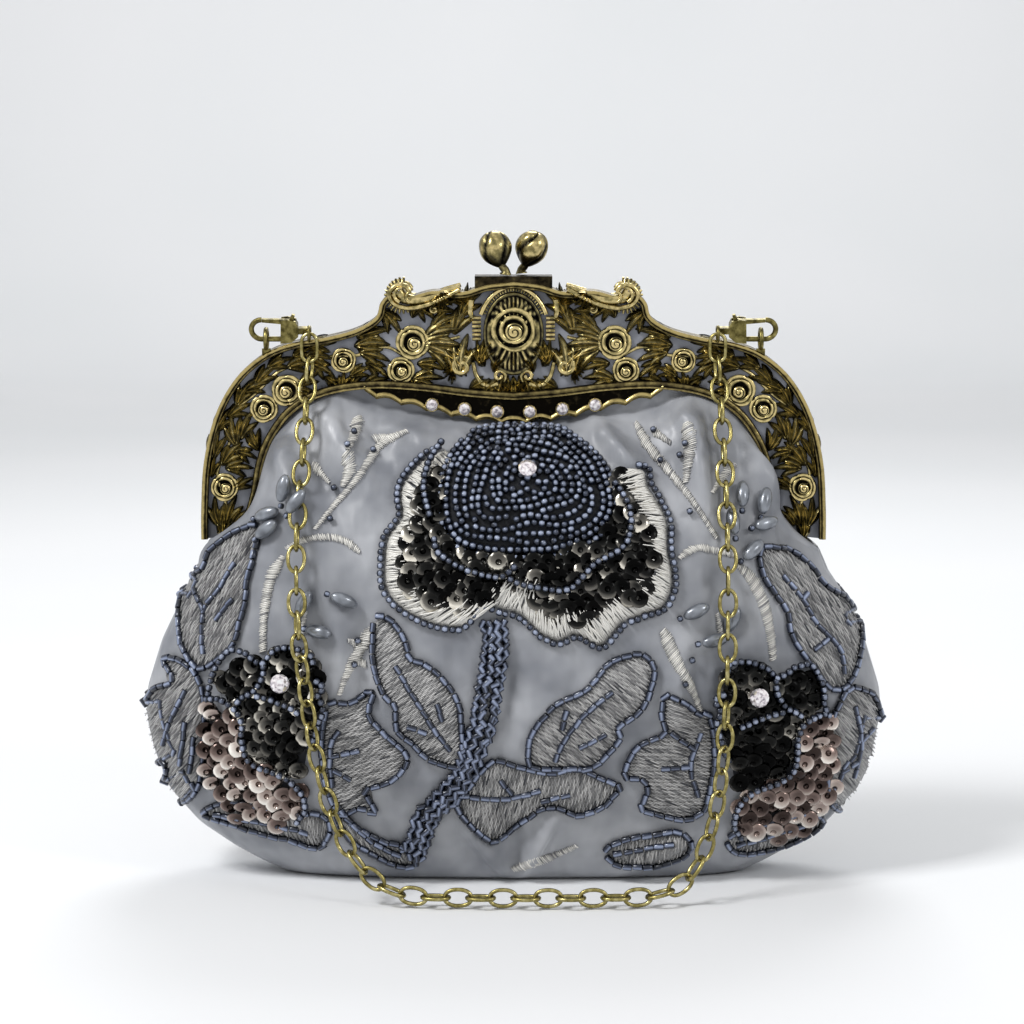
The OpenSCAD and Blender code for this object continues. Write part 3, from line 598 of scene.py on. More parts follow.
    def dark_felt(self) -> Material:
        """Black felt that pads the sequins and the beaded heart."""
        f = Finish("black_felt", Roughness=0.9)
        f.colour(f.ramp(f.noise(1.4), [(0.3, "#0b0c10"), (0.7, "#1a1c22")]))
        f.normal(f.bump(f.noise(0.8, 3.0), 0.2, 0.6))
        return f.material

    def pearl_coat(self) -> Material:
        """Pearl lacquer on plastic: a metallic glow under a clear coat."""
        f = Finish("grey_pearl_lacquer", Metallic=0.55, Roughness=0.3, Coat_Weight=0.5, Coat_Roughness=0.12)
        f.colour(f.ramp(f.noise(3.0, 1.0), [(0.3, "#5d6168"), (0.7, "#8b9098")]))
        return f.material

    def cut_glass(self) -> Material:
        """Foiled cut glass: flat facets; blotches of white, grey and a little pink, each about a facet wide,
        are painted flashes in its colour.
        """
        f = Finish("foiled_rhinestone", Roughness=0.04, Metallic=0.55, Coat_Weight=1.0, Coat_Roughness=0.02)
        # Painted glints: the colour noise is about a facet wide and runs up to white.
        f.colour(f.ramp(f.noise(0.9, 1.0), [(0.3, "#8d8790"), (0.5, "#e8dfe2"), (0.7, "#ffffff")]))
        return f.material

    def grey_board(self) -> Material:
        """Pressed grey board: dull, with short fibres."""
        f = Finish("grey_board", Roughness=0.85)
        f.colour(f.ramp(f.noise(1.2, 4.0, (1, 3, 1)), [(0.3, "#8f8878"), (0.7, "#b9b19d")]))
        f.normal(f.bump(f.noise(0.8, 4.0), 0.08, 0.6))
        return f.material


# The frame


class Side(Enum):
    """The two halves of the purse, by the way they face."""

    FRONT = "front"
    REAR = "rear"

    @property
    def body(self) -> str:
        """The body that the half moves with."""
        return f"{self.value}_frame"


@dataclass(frozen=True)
class Leaf:
    """A cast leaf: the middle's x and height over the hinge, its turn in degrees and its length."""

    x: float
    rise: float
    turn: float
    length: float
    slim: float = 0.36


@dataclass
class FrameHalf:
    """One half of the cast frame, built as the front and mirrored for the rear."""

    side: Side
    looks: Palette
    hinge_z: float = 97.0
    back: float = 0.25
    front: float = 6.85
    web_front: float = 3.25
    bed: float = 3.65
    rim_t: float = 2.0
    rail_t: float = 2.4
    outer_half: tuple = (
        (-93.5, 4.5), (-93.4, 14), (-92.4, 28), (-88.8, 42), (-82.5, 53), (-74, 60.2), (-65, 63.6),
        (-56, 65), (-47, 67.4), (-41, 71), (-39.4, 75.4), (-36, 78.2), (-31, 77.2), (-24, 78.8), (-15, 78.6),
        (-8, 80.6), (0, 81.5),
    )
    inner_half: tuple = (
        (-81.4, 4.5), (-78, 12), (-76, 19), (-74.6, 27), (-71.4, 35), (-65.6, 42.4), (-56.6, 47.4),
        (-43, 49.6), (-28, 49), (-13, 47.2), (0, 46.2),
    )
    roses: tuple = (
        (-30, 63.4, 5.1), (-33.5, 55, 4.1), (-50.6, 58, 3.8), (-67.4, 49, 4.8), (-74.4, 43.6, 4.2),
        (-86.4, 20, 4.2),
    )
    sprigs: tuple = (
        Leaf(-20, 69.4, 28, 10), Leaf(-21, 66, 14, 11), Leaf(-21.4, 62.6, -2, 11), Leaf(-20.4, 59, -24, 11),
        Leaf(-17.4, 57.4, -52, 10), Leaf(-14.6, 59.6, 80, 12), Leaf(-15.2, 70.4, 62, 10),
        Leaf(-13, 74.6, 52, 9), Leaf(-20.6, 74.4, 20, 9), Leaf(-26.6, 72.4, -34, 8), Leaf(-28, 74.4, 60, 8),
        Leaf(-36.6, 69.4, -50, 9), Leaf(-41.4, 66, 14, 10), Leaf(-42, 62.4, 2, 10), Leaf(-41.4, 59, -16, 9),
        Leaf(-40.6, 55, -34, 8), Leaf(-24.6, 56, -14, 8), Leaf(-25.4, 52.4, 2, 9), Leaf(-27.6, 50.6, -22, 7),
        Leaf(-41, 51.6, 14, 7), Leaf(-45.4, 54.6, 24, 7), Leaf(-44.6, 61, -36, 6), Leaf(-57, 62.4, 12, 8),
        Leaf(-57.8, 58.8, -6, 8), Leaf(-57, 55.2, -30, 8), Leaf(-50.4, 52.2, 84, 6),
        Leaf(-46.4, 51.6, 50, 6), Leaf(-54, 51, -40, 6), Leaf(-62.4, 60.6, 26, 7), Leaf(-63.4, 56.4, 8, 8),
        Leaf(-60.6, 52.4, 34, 7), Leaf(-61.8, 47.4, -24, 7), Leaf(-69.4, 57.2, 22, 8),
        Leaf(-73.6, 53.6, 44, 9), Leaf(-76.6, 50, 20, 8), Leaf(-80.4, 48, 60, 8), Leaf(-81.6, 43, 30, 8),
        Leaf(-79.6, 38.6, 66, 9), Leaf(-83.4, 37, 100, 9), Leaf(-77.4, 35, 110, 8), Leaf(-86.6, 40, 60, 8),
        Leaf(-88.6, 33.4, 80, 9), Leaf(-84, 30, 48, 9), Leaf(-80, 29.6, -20, 7), Leaf(-82, 25.6, 0, 8),
        Leaf(-89.6, 26.6, 80, 7), Leaf(-80.6, 21, 30, 7), Leaf(-88.6, 12.6, 100, 9), Leaf(-84.4, 13, 70, 9),
        Leaf(-81.6, 10.8, 40, 7), Leaf(-86.6, 8, 90, 7), Leaf(-9.6, 50.8, 20, 7), Leaf(-6.6, 50.2, 50, 7),
        Leaf(-3.6, 49.8, 74, 7), Leaf(0, 49.6, 90, 7),
    )

    # Fans of the casting: middle, radii, turns, leaf and lift
    fans: tuple = (
        ((-9.2, 58.4), (2, 2), (62, 84, 106), Leaf(0, 0, 0, 9.0, 0.3), 0.5),
        ((-5.6, 55.2), (2, 2), (50, 74), Leaf(0, 0, 0, 6.0, 0.3), 0.5),
        ((-0.6, 47.6), (4.2, 3.4), range(98, 184, 17), Leaf(0, 0, 0, 5.4, 0.34), 0.3),
    )
    crest_fan: tuple = ((-13.2, 75.2), (3.6, 2.4), range(150, 65, -28), Leaf(0, 0, 0, 6.6, 0.32), 0.4)
    vine: tuple = (
        (-88.5, 6), (-86, 14), (-88.6, 24), (-84.6, 34), (-84, 42), (-77, 48), (-70, 54.6), (-62, 57.4),
        (-55, 59), (-46, 59.6), (-38, 62), (-30, 58.6), (-24, 62.6), (-16, 65),
    )

    def line(self, half: Outline, steps: int = 6) -> list[Vector]:
        """A whole edge line of the frame, from the left foot over the top to the right foot."""
        left = spline([(x, self.hinge_z + z) for x, z in half], steps)
        return left + [Vector((-q.x, q.y)) for q in reversed(left[:-1])]

    def swept(self, shape: Shape, line: Sequence[Vector], profile: Sequence[tuple]) -> None:
        """Runs a closed profile along an edge line.

        Args:
            shape: the mesh that takes it.
            line: the edge, seen from the front.
            profile: how far inward, how far forward and the relief of each corner.
        """
        moved = {step: beside(line, step) for step in {p[0] for p in profile}}
        rows = []
        for i in range(len(line)):
            rows.append([(moved[p[0]][i].x, -p[1], moved[p[0]][i].y) for p in profile])
        shape.grid(rows, [[p[2] for p in profile]] * len(rows), wrap=True, ends=True)

    def channel(self) -> Shape:
        """Rim and rail of the stamped channel."""
        shape = Shape()
        f, b, t, r = self.front, self.back, self.rim_t, self.rail_t
        rim = [(0.15, b, 0.3), (0.0, b + 0.3, 0.5), (0.0, f - 1.1, 0.75), (0.1, f - 0.5, 1.0),
               (0.45, f - 0.08, 1.1), (0.8, f, 1.0), (1.1, f - 0.12, 0.55), (1.25, f - 0.45, 0.1),
               (1.5, f - 0.3, 0.5), (1.8, f - 0.4, 0.7), (t, f - 0.8, 0.3), (t, self.bed, 0.0), (t, b, 0.0)]
        self.swept(shape, self.line(self.outer_half), rim)
        g = f - 0.4
        rail = [(0.12, self.back + 0.2, 0.1), (-0.0, g - 1.6, 0.3), (0.02, g - 0.45, 0.95),
                (-0.2, g - 0.1, 1.05), (-0.5, g, 0.75), (-0.85, g - 0.32, 0.12), (-1.1, g - 0.2, 0.5),
                (-1.75, g - 0.1, 0.72), (-2.1, g - 0.25, 0.5), (-r, g - 0.7, 0.1), (-r, self.bed, 0.0),
                (-r + 0.2, self.back + 0.2, 0.0)]
        self.swept(shape, self.line(self.inner_half), list(reversed(rail)))
        return shape

    def ladder(self, steps: int, inset: float) -> tuple[list[Vector], list[Vector]]:
        """Matching points along the rim's and the rail's bed edges.

        Args:
            steps: gaps between the points.
            inset: how far they go under the rim.

        Returns:
            Points of the rim and points of the rail.
        """
        a = resampled(beside(self.line(self.outer_half), self.rim_t - inset), 1.0)
        b = resampled(beside(self.line(self.inner_half), -self.rail_t + inset), 1.0)
        a_marks, b_marks = ([round(i * (len(p) - 1) / steps) for i in range(steps + 1)] for p in (a, b))
        return [a[i] for i in a_marks], [b[i] for i in b_marks]

    def web(self) -> Shape:
        """The flat web behind the satin, two sheets joined at their edges."""
        shape = Shape()
        a, b = self.ladder(150, 0.2)
        rows = [[(p.x, -self.web_front, p.y), (q.x, -self.web_front, q.y), (q.x, -self.web_front + 0.8, q.y),
                 (p.x, -self.web_front + 0.8, p.y)] for p, q in zip(a, b)]
        shape.grid(rows, [[0.3] * 4] * len(rows), wrap=True)
        return shape

    def backing(self) -> Shape:
        """Satin laid over the web, puffed a little where the casting is open."""
        shape = Shape()
        a, b = self.ladder(260, 0.1)
        rng = random.Random(11)
        dents = [(rng.uniform(-90, 90), rng.uniform(8, 80), rng.uniform(1.5, 4), rng.uniform(-0.3, 0.3))
                 for _ in range(140)]
        rows = []
        for p, q in zip(a, b):
            row = []
            for k in range(15):
                w = p.lerp(q, k / 14)
                puff = 0.34 * sin(pi * k / 14) ** 0.5
                for cx, cz, size, lift in dents:
                    d = ((w.x - cx) ** 2 + (w.y - self.hinge_z - cz) ** 2) / size ** 2
                    if d < 6:
                        puff += lift * exp(-d)
                row.append((w.x, -self.web_front - 0.06 - max(0.0, puff), w.y))
            rows.append(row)
        shape.grid(rows)
        return shape

    def blade(self, shape: Shape, foot: Vector, turn: float, long: float, wide: float, hand: int,
              lift: float) -> None:
        """One pointed blade: a sharp ridge between two hollow flanks, bent a little along its way.

        Args:
            shape: the mesh that takes it.
            foot: where it starts, as x and height over the hinge.
            turn: the way it points, in degrees.
            long: its length.
            wide: its width.
            hand: -1 mirrors it across the purse.
            lift: how far it stands above the bed.
        """
        w = radians(turn)
        along, across = Vector((cos(w), sin(w))), Vector((-sin(w), cos(w)))
        rows, tones = [], []
        steps = 8
        for i in range(steps + 1):
            t = i / steps
            half = wide / 2 * sin(pi * min(1, t * 0.95 + 0.03)) ** 0.7
            row, tone = [], []
            for v in (-1, -0.7, -0.28, 0, 0.28, 0.7, 1):
                spot = foot + along * (long * t) + across * (half * v + 0.07 * long * sin(pi * t))
                crown = (1 - abs(v)) * (0.5 + 0.9 * sin(pi * t) ** 0.6) + (0.3 if abs(v) == 0.7 else 0.0)
                high = self.bed + 0.3 + crown + lift
                if abs(v) == 1 or i in (0, steps):
                    high = self.bed - 0.3
                row.append((hand * spot.x, -high, self.hinge_z + spot.y))
                tone.append({0: 1.1, 0.28: 0.5, 0.7: 0.82, 1: 0.0}[abs(v)] * (0.6 + 0.4 * sin(pi * t)))
            rows.append(row if hand > 0 else row[::-1])
            tones.append(tone if hand > 0 else tone[::-1])
        shape.grid(rows, tones)

    def leaf(self, shape: Shape, q: Leaf, hand: int, lift: float = 0.0) -> None:
        """A spray of three blades from one foot, the middle one longest and highest.

        Args:
            shape: the mesh that takes it.
            q: the leaf.
            hand: -1 mirrors it.
            lift: how far it stands above the bed.
        """
        w = radians(q.turn)
        foot = Vector((q.x, q.rise)) - polar(1, w) * (q.length / 2)
        for off, share, rise in ((-21, 0.8, 0.0), (21, 0.76, 0.05), (0, 1.0, 0.2)):
            long, wide = q.length * share, q.length * q.slim * 0.6
            self.blade(shape, foot, q.turn + off, long, wide, hand, lift + rise)

    def fan(self, shape: Shape, hand: int, middle: Point, radii: Point, turns: Iterable[float], pattern: Leaf,
            lift: float) -> None:
        """Leaves that spread round a middle, each pointing outwards.

        Args:
            shape: the mesh that takes them.
            hand: -1 mirrors them across the purse.
            middle: what they spread round, as x and height over the hinge.
            radii: how far off they stand, across and up.
            turns: where each one stands, in degrees.
            pattern: length and slimness of a leaf, and its turn beyond the way out.
            lift: how far they stand above the bed.
        """
        for turn in turns:
            w = radians(turn)
            x, rise = middle[0] + radii[0] * cos(w), middle[1] + radii[1] * sin(w)
            self.leaf(shape, replace(pattern, x=x, rise=rise, turn=turn + pattern.turn), hand, lift)

    def rose(self, shape: Shape, x: float, z: float, r: float, base: float, tiers: Sequence[tuple],
             turn: float) -> None:
        """A rolled rose: a cup, tiers of thick crescent petals and a small heart.

        Args:
            shape: the mesh that takes it.
            x: middle across the purse.
            z: height of the middle.
            r: radius of the whole rose.
            base: depth of the bed that it stands on.
            tiers: share of the radius, petals, thickness share and rise of each tier.
            turn: how far the petals are turned, in degrees.
        """
        sides = 40
        spin = radians(turn)
        ring = circle(sides)
        cup = [(1.0, -0.4, 0.0), (0.98, 0.35, 0.3), (0.88, 0.45, 0.08), (0.6, 0.4, 0.02), (0.02, 0.5, 0.0)]
        shape.grid([[(x + r * share * cos(a), -(base + rise), z + r * share * sin(a)) for a in ring][::-1]
                    for share, rise, _ in cup], [[shade] * sides for _, _, shade in cup], wrap=True)
        for share, petals, thick, rise in tiers:
            for j in range(petals):
                start = spin + share * 5 + 2 * pi * j / petals
                sweep = 2 * pi / petals * 1.22
                rows, tones = [], []
                for i in range(13):
                    u = i / 12
                    a = start + sweep * u
                    swell = sin(pi * u) ** 0.55
                    lip = r * share * (0.9 + 0.14 * swell)
                    deep = r * thick * (0.35 + 0.65 * swell)
                    lift = base + rise * (0.65 + 0.35 * swell) + 0.16 * u
                    section = ((lip, lift - 0.75, 0.1), (lip + 0.03 * r, lift - 0.1, 0.6),
                               (lip - 0.2 * deep, lift + 0.14, 1.05), (lip - 0.7 * deep, lift, 0.62),
                               (lip - deep, lift - 0.5, 0.05))
                    rows.append([(x + d * cos(a), -high, z + d * sin(a)) for d, high, _ in section])
                    tones.append([tone for _, _, tone in section])
                shape.grid(rows, tones)
        # The rolled heart: a ball with a spiral furrow, set a little low in the petals
        low = Vector((x + 0.1 * r * cos(spin), z - 0.12 * r))
        size, top = 0.5 * r, tiers[-1][3] + 0.1
        rows, tones = [], []
        for i in range(15):
            share = 1 - i / 14
            row, tone = [], []
            for a in ring:
                spiral = (2.3 * share + (a + spin) / (2 * pi)) % 1.0
                furrow = exp(-((min(spiral, 1 - spiral) / 0.13) ** 2)) if 0.08 < share < 0.92 else 0.0
                high = base + 0.2 + top * sqrt(max(0.0, 1 - share ** 2.6)) - 0.22 * furrow
                row.append((low.x + size * share * cos(a), -high, low.y + size * share * sin(a)))
                tone.append(max(0.0, 1.06 - 1.1 * furrow - 0.8 * share ** 5))
            rows.append(row[::-1])
            tones.append(tone[::-1])
        shape.grid(rows, tones, wrap=True)

    def scroll(self, shape: Shape, points: Outline, r0: float, r1: float, hand: int, depth: float) -> None:
        """A raised scroll that thins along its line.

        Args:
            shape: the mesh that takes it.
            points: places as x and height over the hinge.
            r0: its radius at the start.
            r1: its radius at the end.
            hand: -1 mirrors it across the purse.
            depth: how far its middle stands in front of the hinge's plane.
        """
        line = spline(points, 6)
        route = [Vector((hand * p.x, -depth, self.hinge_z + p.y)) for p in line]
        shape.tube(route, [blend(r0, r1, i / (len(route) - 1)) for i in range(len(route))], 8, relief_and_painted_light=0.85)

    def curl(self, shape: Shape, x: float, h: float, r: float, turn: float, hand: int, blades: int) -> None:
        """A C-scroll that winds in to a round eye, with leaves along its back.

        Args:
            shape: the mesh that takes it.
            x: its middle across the purse.
            h: height of its middle over the hinge.
            r: its radius.
            turn: where it starts, in degrees.
            hand: -1 mirrors it across the purse.
            blades: how many leaves stand on its back.
        """
        depth = self.bed + 1.0
        route, radii = [], []
        for i in range(27):
            u = i / 26
            a = radians(turn + 430 * u)
            rad = r * (1 - 0.72 * u ** 0.8)
            place = (hand * (x + rad * cos(a)), -depth - 0.4 * u, self.hinge_z + h + rad * sin(a))
            route.append(Vector(place))
            radii.append(0.26 * r * (0.45 + 0.55 * sin(pi * min(1.0, 0.15 + 0.7 * u))))
        shape.tube(route, radii, 9, relief_and_painted_light=0.88)
        eye = [route[-1] + Vector((0, y, 0)) for y in (0.5, -0.35)]
        shape.tube(eye, [0.3 * r, 0.2 * r], 10)
        turns = [turn - 20 + 190 * j / max(1, blades - 1) for j in range(blades)]
        self.fan(shape, hand, (x, h), (r * 1.42, r * 1.42), turns, Leaf(0, 0, 38, r * 1.25, 0.42), 0.1)

    def shell(self, shape: Shape, hand: int) -> None:
        """The shell scroll on the shoulder: a head of lobes in a fluted edge, a long stalk and a fan.

        Args:
            shape: the mesh that takes it.
            hand: -1 mirrors it.
        """
        base = self.front - 1.0
        body = [(-15.8, 80.0), (-20, 78.6), (-24.4, 76.8), (-28.6, 76.0), (-32.4, 76.6), (-34.2, 78.4)]
        self.scroll(shape, body, 0.7, 2.1, hand, base - 0.2)
        edge = [(-16, 79.2), (-21, 76.6), (-26.4, 74.4), (-31.6, 73.7), (-35.4, 75), (-36.8, 77.8),
                (-35, 80.2), (-32, 80.2), (-30.7, 78.8)]
        self.scroll(shape, edge, 0.7, 0.85, hand, base + 0.9)
        for x, h, r in ((-33.0, 77.6, 2.2), (-30.2, 77.0, 1.6)):
            arc = [(x - r * cos(radians(w)), h + r * sin(radians(w))) for w in range(-70, 91, 40)]
            self.scroll(shape, arc, 0.62, 0.4, hand, base + 1.9)
        for k in range(15):
            a = radians(-112 + 205 * k / 14)
            ends = [Vector((hand * (-33.2 - rad * cos(a)), -base - deep, self.hinge_z + 77.2 + rad * sin(a)))
                    for rad, deep in ((3.5, 0.7), (5.1, 0.1))]
            shape.tube(ends, [0.5, 0.34], 6, relief_and_painted_light=0.75)
        self.fan(shape, hand, (-22.4, 78.0), (2.9, 2.9), range(-18, -115, -24), Leaf(0, 0, 0, 5.8, 0.34), 2.2)

    def openwork(self) -> Shape:
        """The casting: leaves, scrolls, shells and vines on both hands."""
        shape = Shape()
        low = self.bed + 0.9
        for hand in (1, -1):
            for k, q in enumerate(self.sprigs):
                self.leaf(shape, replace(q, length=q.length * 1.12, slim=0.4), hand, 0.16 * (k % 3))
            for fan in self.fans:
                self.fan(shape, hand, *fan)
            self.curl(shape, -15.4, 56.2, 3.3, 60, hand, 8)
            self.curl(shape, -4.2, 53.4, 2.3, -80, hand, 0)
            self.curl(shape, -23.6, 73.2, 1.7, 20, hand, 3)
            self.scroll(shape, [(-4.6, 51.0), (-8.4, 50.6), (-11, 53.4), (-12, 57.4)], 0.9, 0.6, hand, low)
            self.scroll(shape, [(-12.6, 76.0), (-12.9, 72.6), (-12.4, 70.8)], 1.1, 0.7, hand, self.bed + 1.2)
            for k in range(6):
                h = 64.4 + 1.25 * k
                self.scroll(shape, [(-12.3, h), (-9.7, h)], 0.52, 0.52, hand, low)
            self.fan(shape, hand, *self.crest_fan)
            self.scroll(shape, self.vine, 0.55, 0.5, hand, self.bed + 0.35)
            self.shell(shape, hand)
        return shape

    def rose_heads(self) -> Shape:
        """All the roses of the half."""
        shape = Shape()
        tiers = ((0.94, 4, 0.3, 1.1), (0.7, 3, 0.24, 1.55))
        for hand in (-1, 1):
            for k, (x, rise, r) in enumerate(self.roses):
                self.rose(shape, -hand * x, self.hinge_z + rise, r, self.bed + 0.3, tiers, 25 + 70 * k * hand)
        return shape

    def medallion(self) -> Shape:
        """The crest's fluted oval with its rolled rose and a raised arch."""
        shape = Shape()
        cz, rx, rz = self.hinge_z + 66.0, 9.0, 12.4
        sides = 144
        steps = [(1.0, -0.3, 0.0), (1.0, 1.4, 0.4), (0.965, 1.8, 0.6), (0.93, 1.8, 0.5), (0.9, 1.5, 0.05),
                 (0.85, 1.2, 0.25), (0.74, 1.5, 0.5), (0.5, 1.6, 0.3), (0.02, 1.6, 0.1)]
        rows, tones = [], []
        for i, (share, high, shade) in enumerate(steps):
            row, tone = [], []
            for k in range(sides):
                w = 2 * pi * k / sides
                x = rx * share * cos(w)
                flute = 0.34 * cos(2 * pi * x / 1.25) if i in (5, 6, 7) else 0.0
                row.append((x, -(self.bed + high + flute), cz + rz * share * sin(w)))
                tone.append(min(1.0, max(0.0, shade + flute * 1.8)))
            rows.append(row[::-1])
            tones.append(tone[::-1])
        shape.grid(rows, tones, wrap=True)
        tiers = ((0.97, 3, 0.25, 1.0), (0.62, 3, 0.2, 1.6))
        self.rose(shape, 0, cz + 1.2, 6.5, self.bed + 1.4, tiers, 70)
        arch = [Vector((10.6 * cos(radians(w)), -self.bed - 1.3, cz + 14.0 * sin(radians(w))))
                for w in range(24, 157, 4)]
        shape.tube(arch, 0.75, 8, relief_and_painted_light=0.95)
        for k in range(27):
            w = radians(28 + 124 * k / 26)
            ends = [Vector((a * cos(w), -self.bed - 0.9, cz + b * sin(w)))
                    for a, b in ((9.2, 12.6), (10.4, 13.7))]
            shape.tube(ends, 0.3, 6, relief_and_painted_light=0.7)
        return shape

    def build(self) -> None:
        """Makes every piece of the half and hangs it on its body."""
        half, name, looks = self.side.body, self.side.value, self.looks
        steps = [
            ("rim_and_rail", self.channel, looks.rim_brass, "dark_brass", (f"{name}_channel",), 30),
            ("web", self.web, looks.rim_brass, "dark_brass", (), 30),
            ("backing_satin", self.backing, looks.backing, "satin", (f"{name}_backing",), 60),
            ("cast_openwork", self.openwork, looks.cast_brass, "antique_brass", (f"{name}_openwork",), 60),
            ("rose_heads", self.rose_heads, looks.cast_brass, "antique_brass", (f"{name}_roses",), 60),
            ("medallion", self.medallion, looks.cast_brass, "antique_brass", (f"{name}_medallion",), 60),
        ]
        for label, make, finish, slot, nodes, angle in steps:
            shape: Shape = make().facing(self.side)
            ride(shape.build(f"{name}_{label}_piece", finish, angle), half, nodes)


# The pouch's cloth


@dataclass(frozen=True)
class Fold:
    """A crease of the satin: its line as (x, z) places, its width and how far it stands out."""

    line: tuple[Point, ...]
    width: float
    height: float

    def lift(self, x: float, z: float) -> float:
        """How far the crease moves the satin at a place.

        Args:
            x: place across.
            z: height.

        Returns:
            The move outwards, in millimetres.
        """
        best, where = 1e9, 0.0
        for i, ((xa, za), (xb, zb)) in enumerate(zip(self.line, self.line[1:])):
            dx, dz = xb - xa, zb - za
            t = min(1.0, max(0.0, ((x - xa) * dx + (z - za) * dz) / (dx * dx + dz * dz)))
            gap = (x - xa - dx * t) ** 2 + (z - za - dz * t) ** 2
            if gap < best:
                best, where = gap, (i + t) / (len(self.line) - 1)
        reach = best / (0.8 * self.width) ** 2
        return 1.5 * self.height * exp(-reach) * sin(pi * blend(0.08, 0.92, where)) if reach < 7 else 0.0


@dataclass
class BagCloth:
    """Satin and lining of the pouch: a front and a rear sheet that meet at the sides and under the base."""

    looks: Palette
    rim_z: float = 92.0
    rim_depth: float = 32.6
    base_depth: float = 15.0
    belly: float = 1.6
    squareness: float = 2.5
    columns: int = 110
    upper_rows: int = 36
    lower_rows: int = 46
    base_rows: int = 4
    blend_start: float = 0.072
    blend_end: float = 0.104
    rings: tuple = (
        (0, 70), (0.03, 76), (0.085, 85), (0.165, 95.6), (0.28, 104.6), (0.41, 109), (0.53, 111),
        (0.61, 110.6), (0.77, 106), (0.935, 98.6), (1, 94.6),
    )
    # The panel's top edge along the rail and down over the leg: x, z and depth there
    edge: tuple = (
        (0, 143.8, 2.85), (13, 144.8, 2.85), (28, 146.6, 2.85), (43, 147.3, 2.85), (50, 146.8, 2.85),
        (57, 145, 2.85), (62.5, 142.3, 2.85), (67, 138.6, 2.85), (70.5, 134.3, 2.9), (73, 129.6, 3.2),
        (74.9, 124, 5.4), (76, 118, 7.6), (78, 112, 8.45), (84, 104.5, 8.25), (91.8, 98.5, 7.25),
    )
    folds: tuple = (
        Fold(((-72, 134), (-66, 120), (-58, 106)), 3.6, 2.63), Fold(((-66, 138), (-58, 124), (-52, 112)), 3,
        -2.17), Fold(((-58, 142), (-50, 130), (-46, 120)), 3.2, 2.02), Fold(((-44, 142), (-40, 132),
        (-38, 124)), 3.4, -1.86), Fold(((24, 138), (30, 130), (40, 120)), 3.2, 2.63), Fold(((36, 142),
        (42, 130), (50, 118)), 3.2, -2.48), Fold(((50, 143), (54, 130), (56, 112)), 3.6, 2.48),
        Fold(((64, 138), (66, 124), (62, 108)), 3.4, -2.17), Fold(((70, 130), (76, 118), (84, 106)), 3.4,
        2.94), Fold(((78, 108), (84, 100), (94, 92)), 3.2, -1.86), Fold(((-78, 112), (-86, 102), (-96, 92)),
        3.4, 2.17), Fold(((-74, 108), (-82, 96), (-88, 82)), 3.4, -2.33), Fold(((66, 96), (72, 84),
        (74, 70)), 4.2, 2.48), Fold(((60, 92), (64, 80), (62, 66)), 3.4, -2.17), Fold(((-58, 96), (-52, 82),
        (-50, 64)), 4, 2.02), Fold(((-46, 84), (-44, 66), (-46, 50)), 3.6, -2.17), Fold(((50, 74), (48, 56),
        (50, 44)), 3.6, 2.02), Fold(((0, 72), (-3, 56), (-6, 44)), 4.2, -2.33), Fold(((-18, 24), (-8, 10),
        (0, 1)), 2.4, 2.94), Fold(((14, 24), (7, 10), (1, 1)), 2.4, 2.94), Fold(((-1, 20), (0, 10), (0, 3)),
        3, -3.56), Fold(((-60, 20), (-46, 10), (-34, 4)), 3.4, 2.17), Fold(((58, 18), (44, 10), (32, 4)),
        3.4, 2.17), Fold(((-88, 62), (-94, 44), (-90, 26)), 4, -2.02), Fold(((88, 62), (94, 44), (90, 26)),
        4, -2.02),
    )

    def half_width(self, z: float) -> float:
        """Half the pouch's width at a height."""
        return table(z / self.rim_z, self.rings)

    def ring_depth(self, z: float) -> float:
        """Half the pouch's depth at a height."""
        share = z / self.rim_z
        if share > 0.6:
            return self.rim_depth + self.belly * sin(pi * min(1.0, (1 - share) / 0.8))
        return blend(self.base_depth, self.rim_depth + self.belly, (max(0.0, share) / 0.6) ** 0.55)

    def turns(self) -> list[float]:
        """Angles round the section at which the columns stand, evenly spaced on the cloth."""
        power = 2 / self.squareness
        wide = self.half_width(self.rim_z)
        ring = []
        for i in range(601):
            w = pi * (1 - i / 600)
            ring.append(Vector((wide * copysign(abs(cos(w)) ** power, cos(w)),
                                self.rim_depth * max(0.0, sin(w)) ** power)))
        even = resampled(ring, 0.5)
        out = []
        for i in range(self.columns + 1):
            q = even[round(i * (len(even) - 1) / self.columns)]
            c = copysign((min(1.0, abs(q.x) / wide)) ** (1 / power), q.x)
            s = (min(1.0, max(0.0, q.y) / self.rim_depth)) ** (1 / power)
            out.append(atan2(s, c))
        return out

    def ring_point(self, turn: float, z: float) -> Vector:
        """A point of the pouch below its rim, on the front.

        Args:
            turn: angle round the section.
            z: height.

        Returns:
            The point.
        """
        power = 2 / self.squareness
        c, s = cos(turn), max(0.0, sin(turn))
        across = self.half_width(z) * copysign(abs(c) ** power, c)
        return Vector((across, -self.ring_depth(z) * s ** power, z))

    def panel_point(self, turn: float, t: float) -> Vector:
        """A point between the rim and the frame, on the front.

        Args:
            turn: angle round the section.
            t: share of the way up.

        Returns:
            The point.
        """
        foot = self.ring_point(turn, self.rim_z)
        wide, reach = self.half_width(self.rim_z), self.edge[-1][0]
        x_top = reach * (abs(foot.x) / wide) ** (1 / 0.9)
        z_top = table(x_top, [(x, z) for x, z, _ in self.edge])
        d_top = table(x_top, [(x, d) for x, _, d in self.edge])
        if abs(foot.x) > 0.995 * wide:
            d_top = blend(d_top, 0.6, 0.7)
        flat = 7.8 * max(0.0, 1 - (x_top / 52.5) ** 6)
        z = blend(self.rim_z, z_top, t)
        up = min(1.0, max(0.0, t * (z_top - self.rim_z) / max(1.0, z_top - self.rim_z - flat)))
        y = -blend(d_top, max(d_top, -foot.y), max(0.0, 1 - up ** 1.5) ** 0.7)
        return Vector((blend(foot.x, copysign(x_top, foot.x), t), y, z))

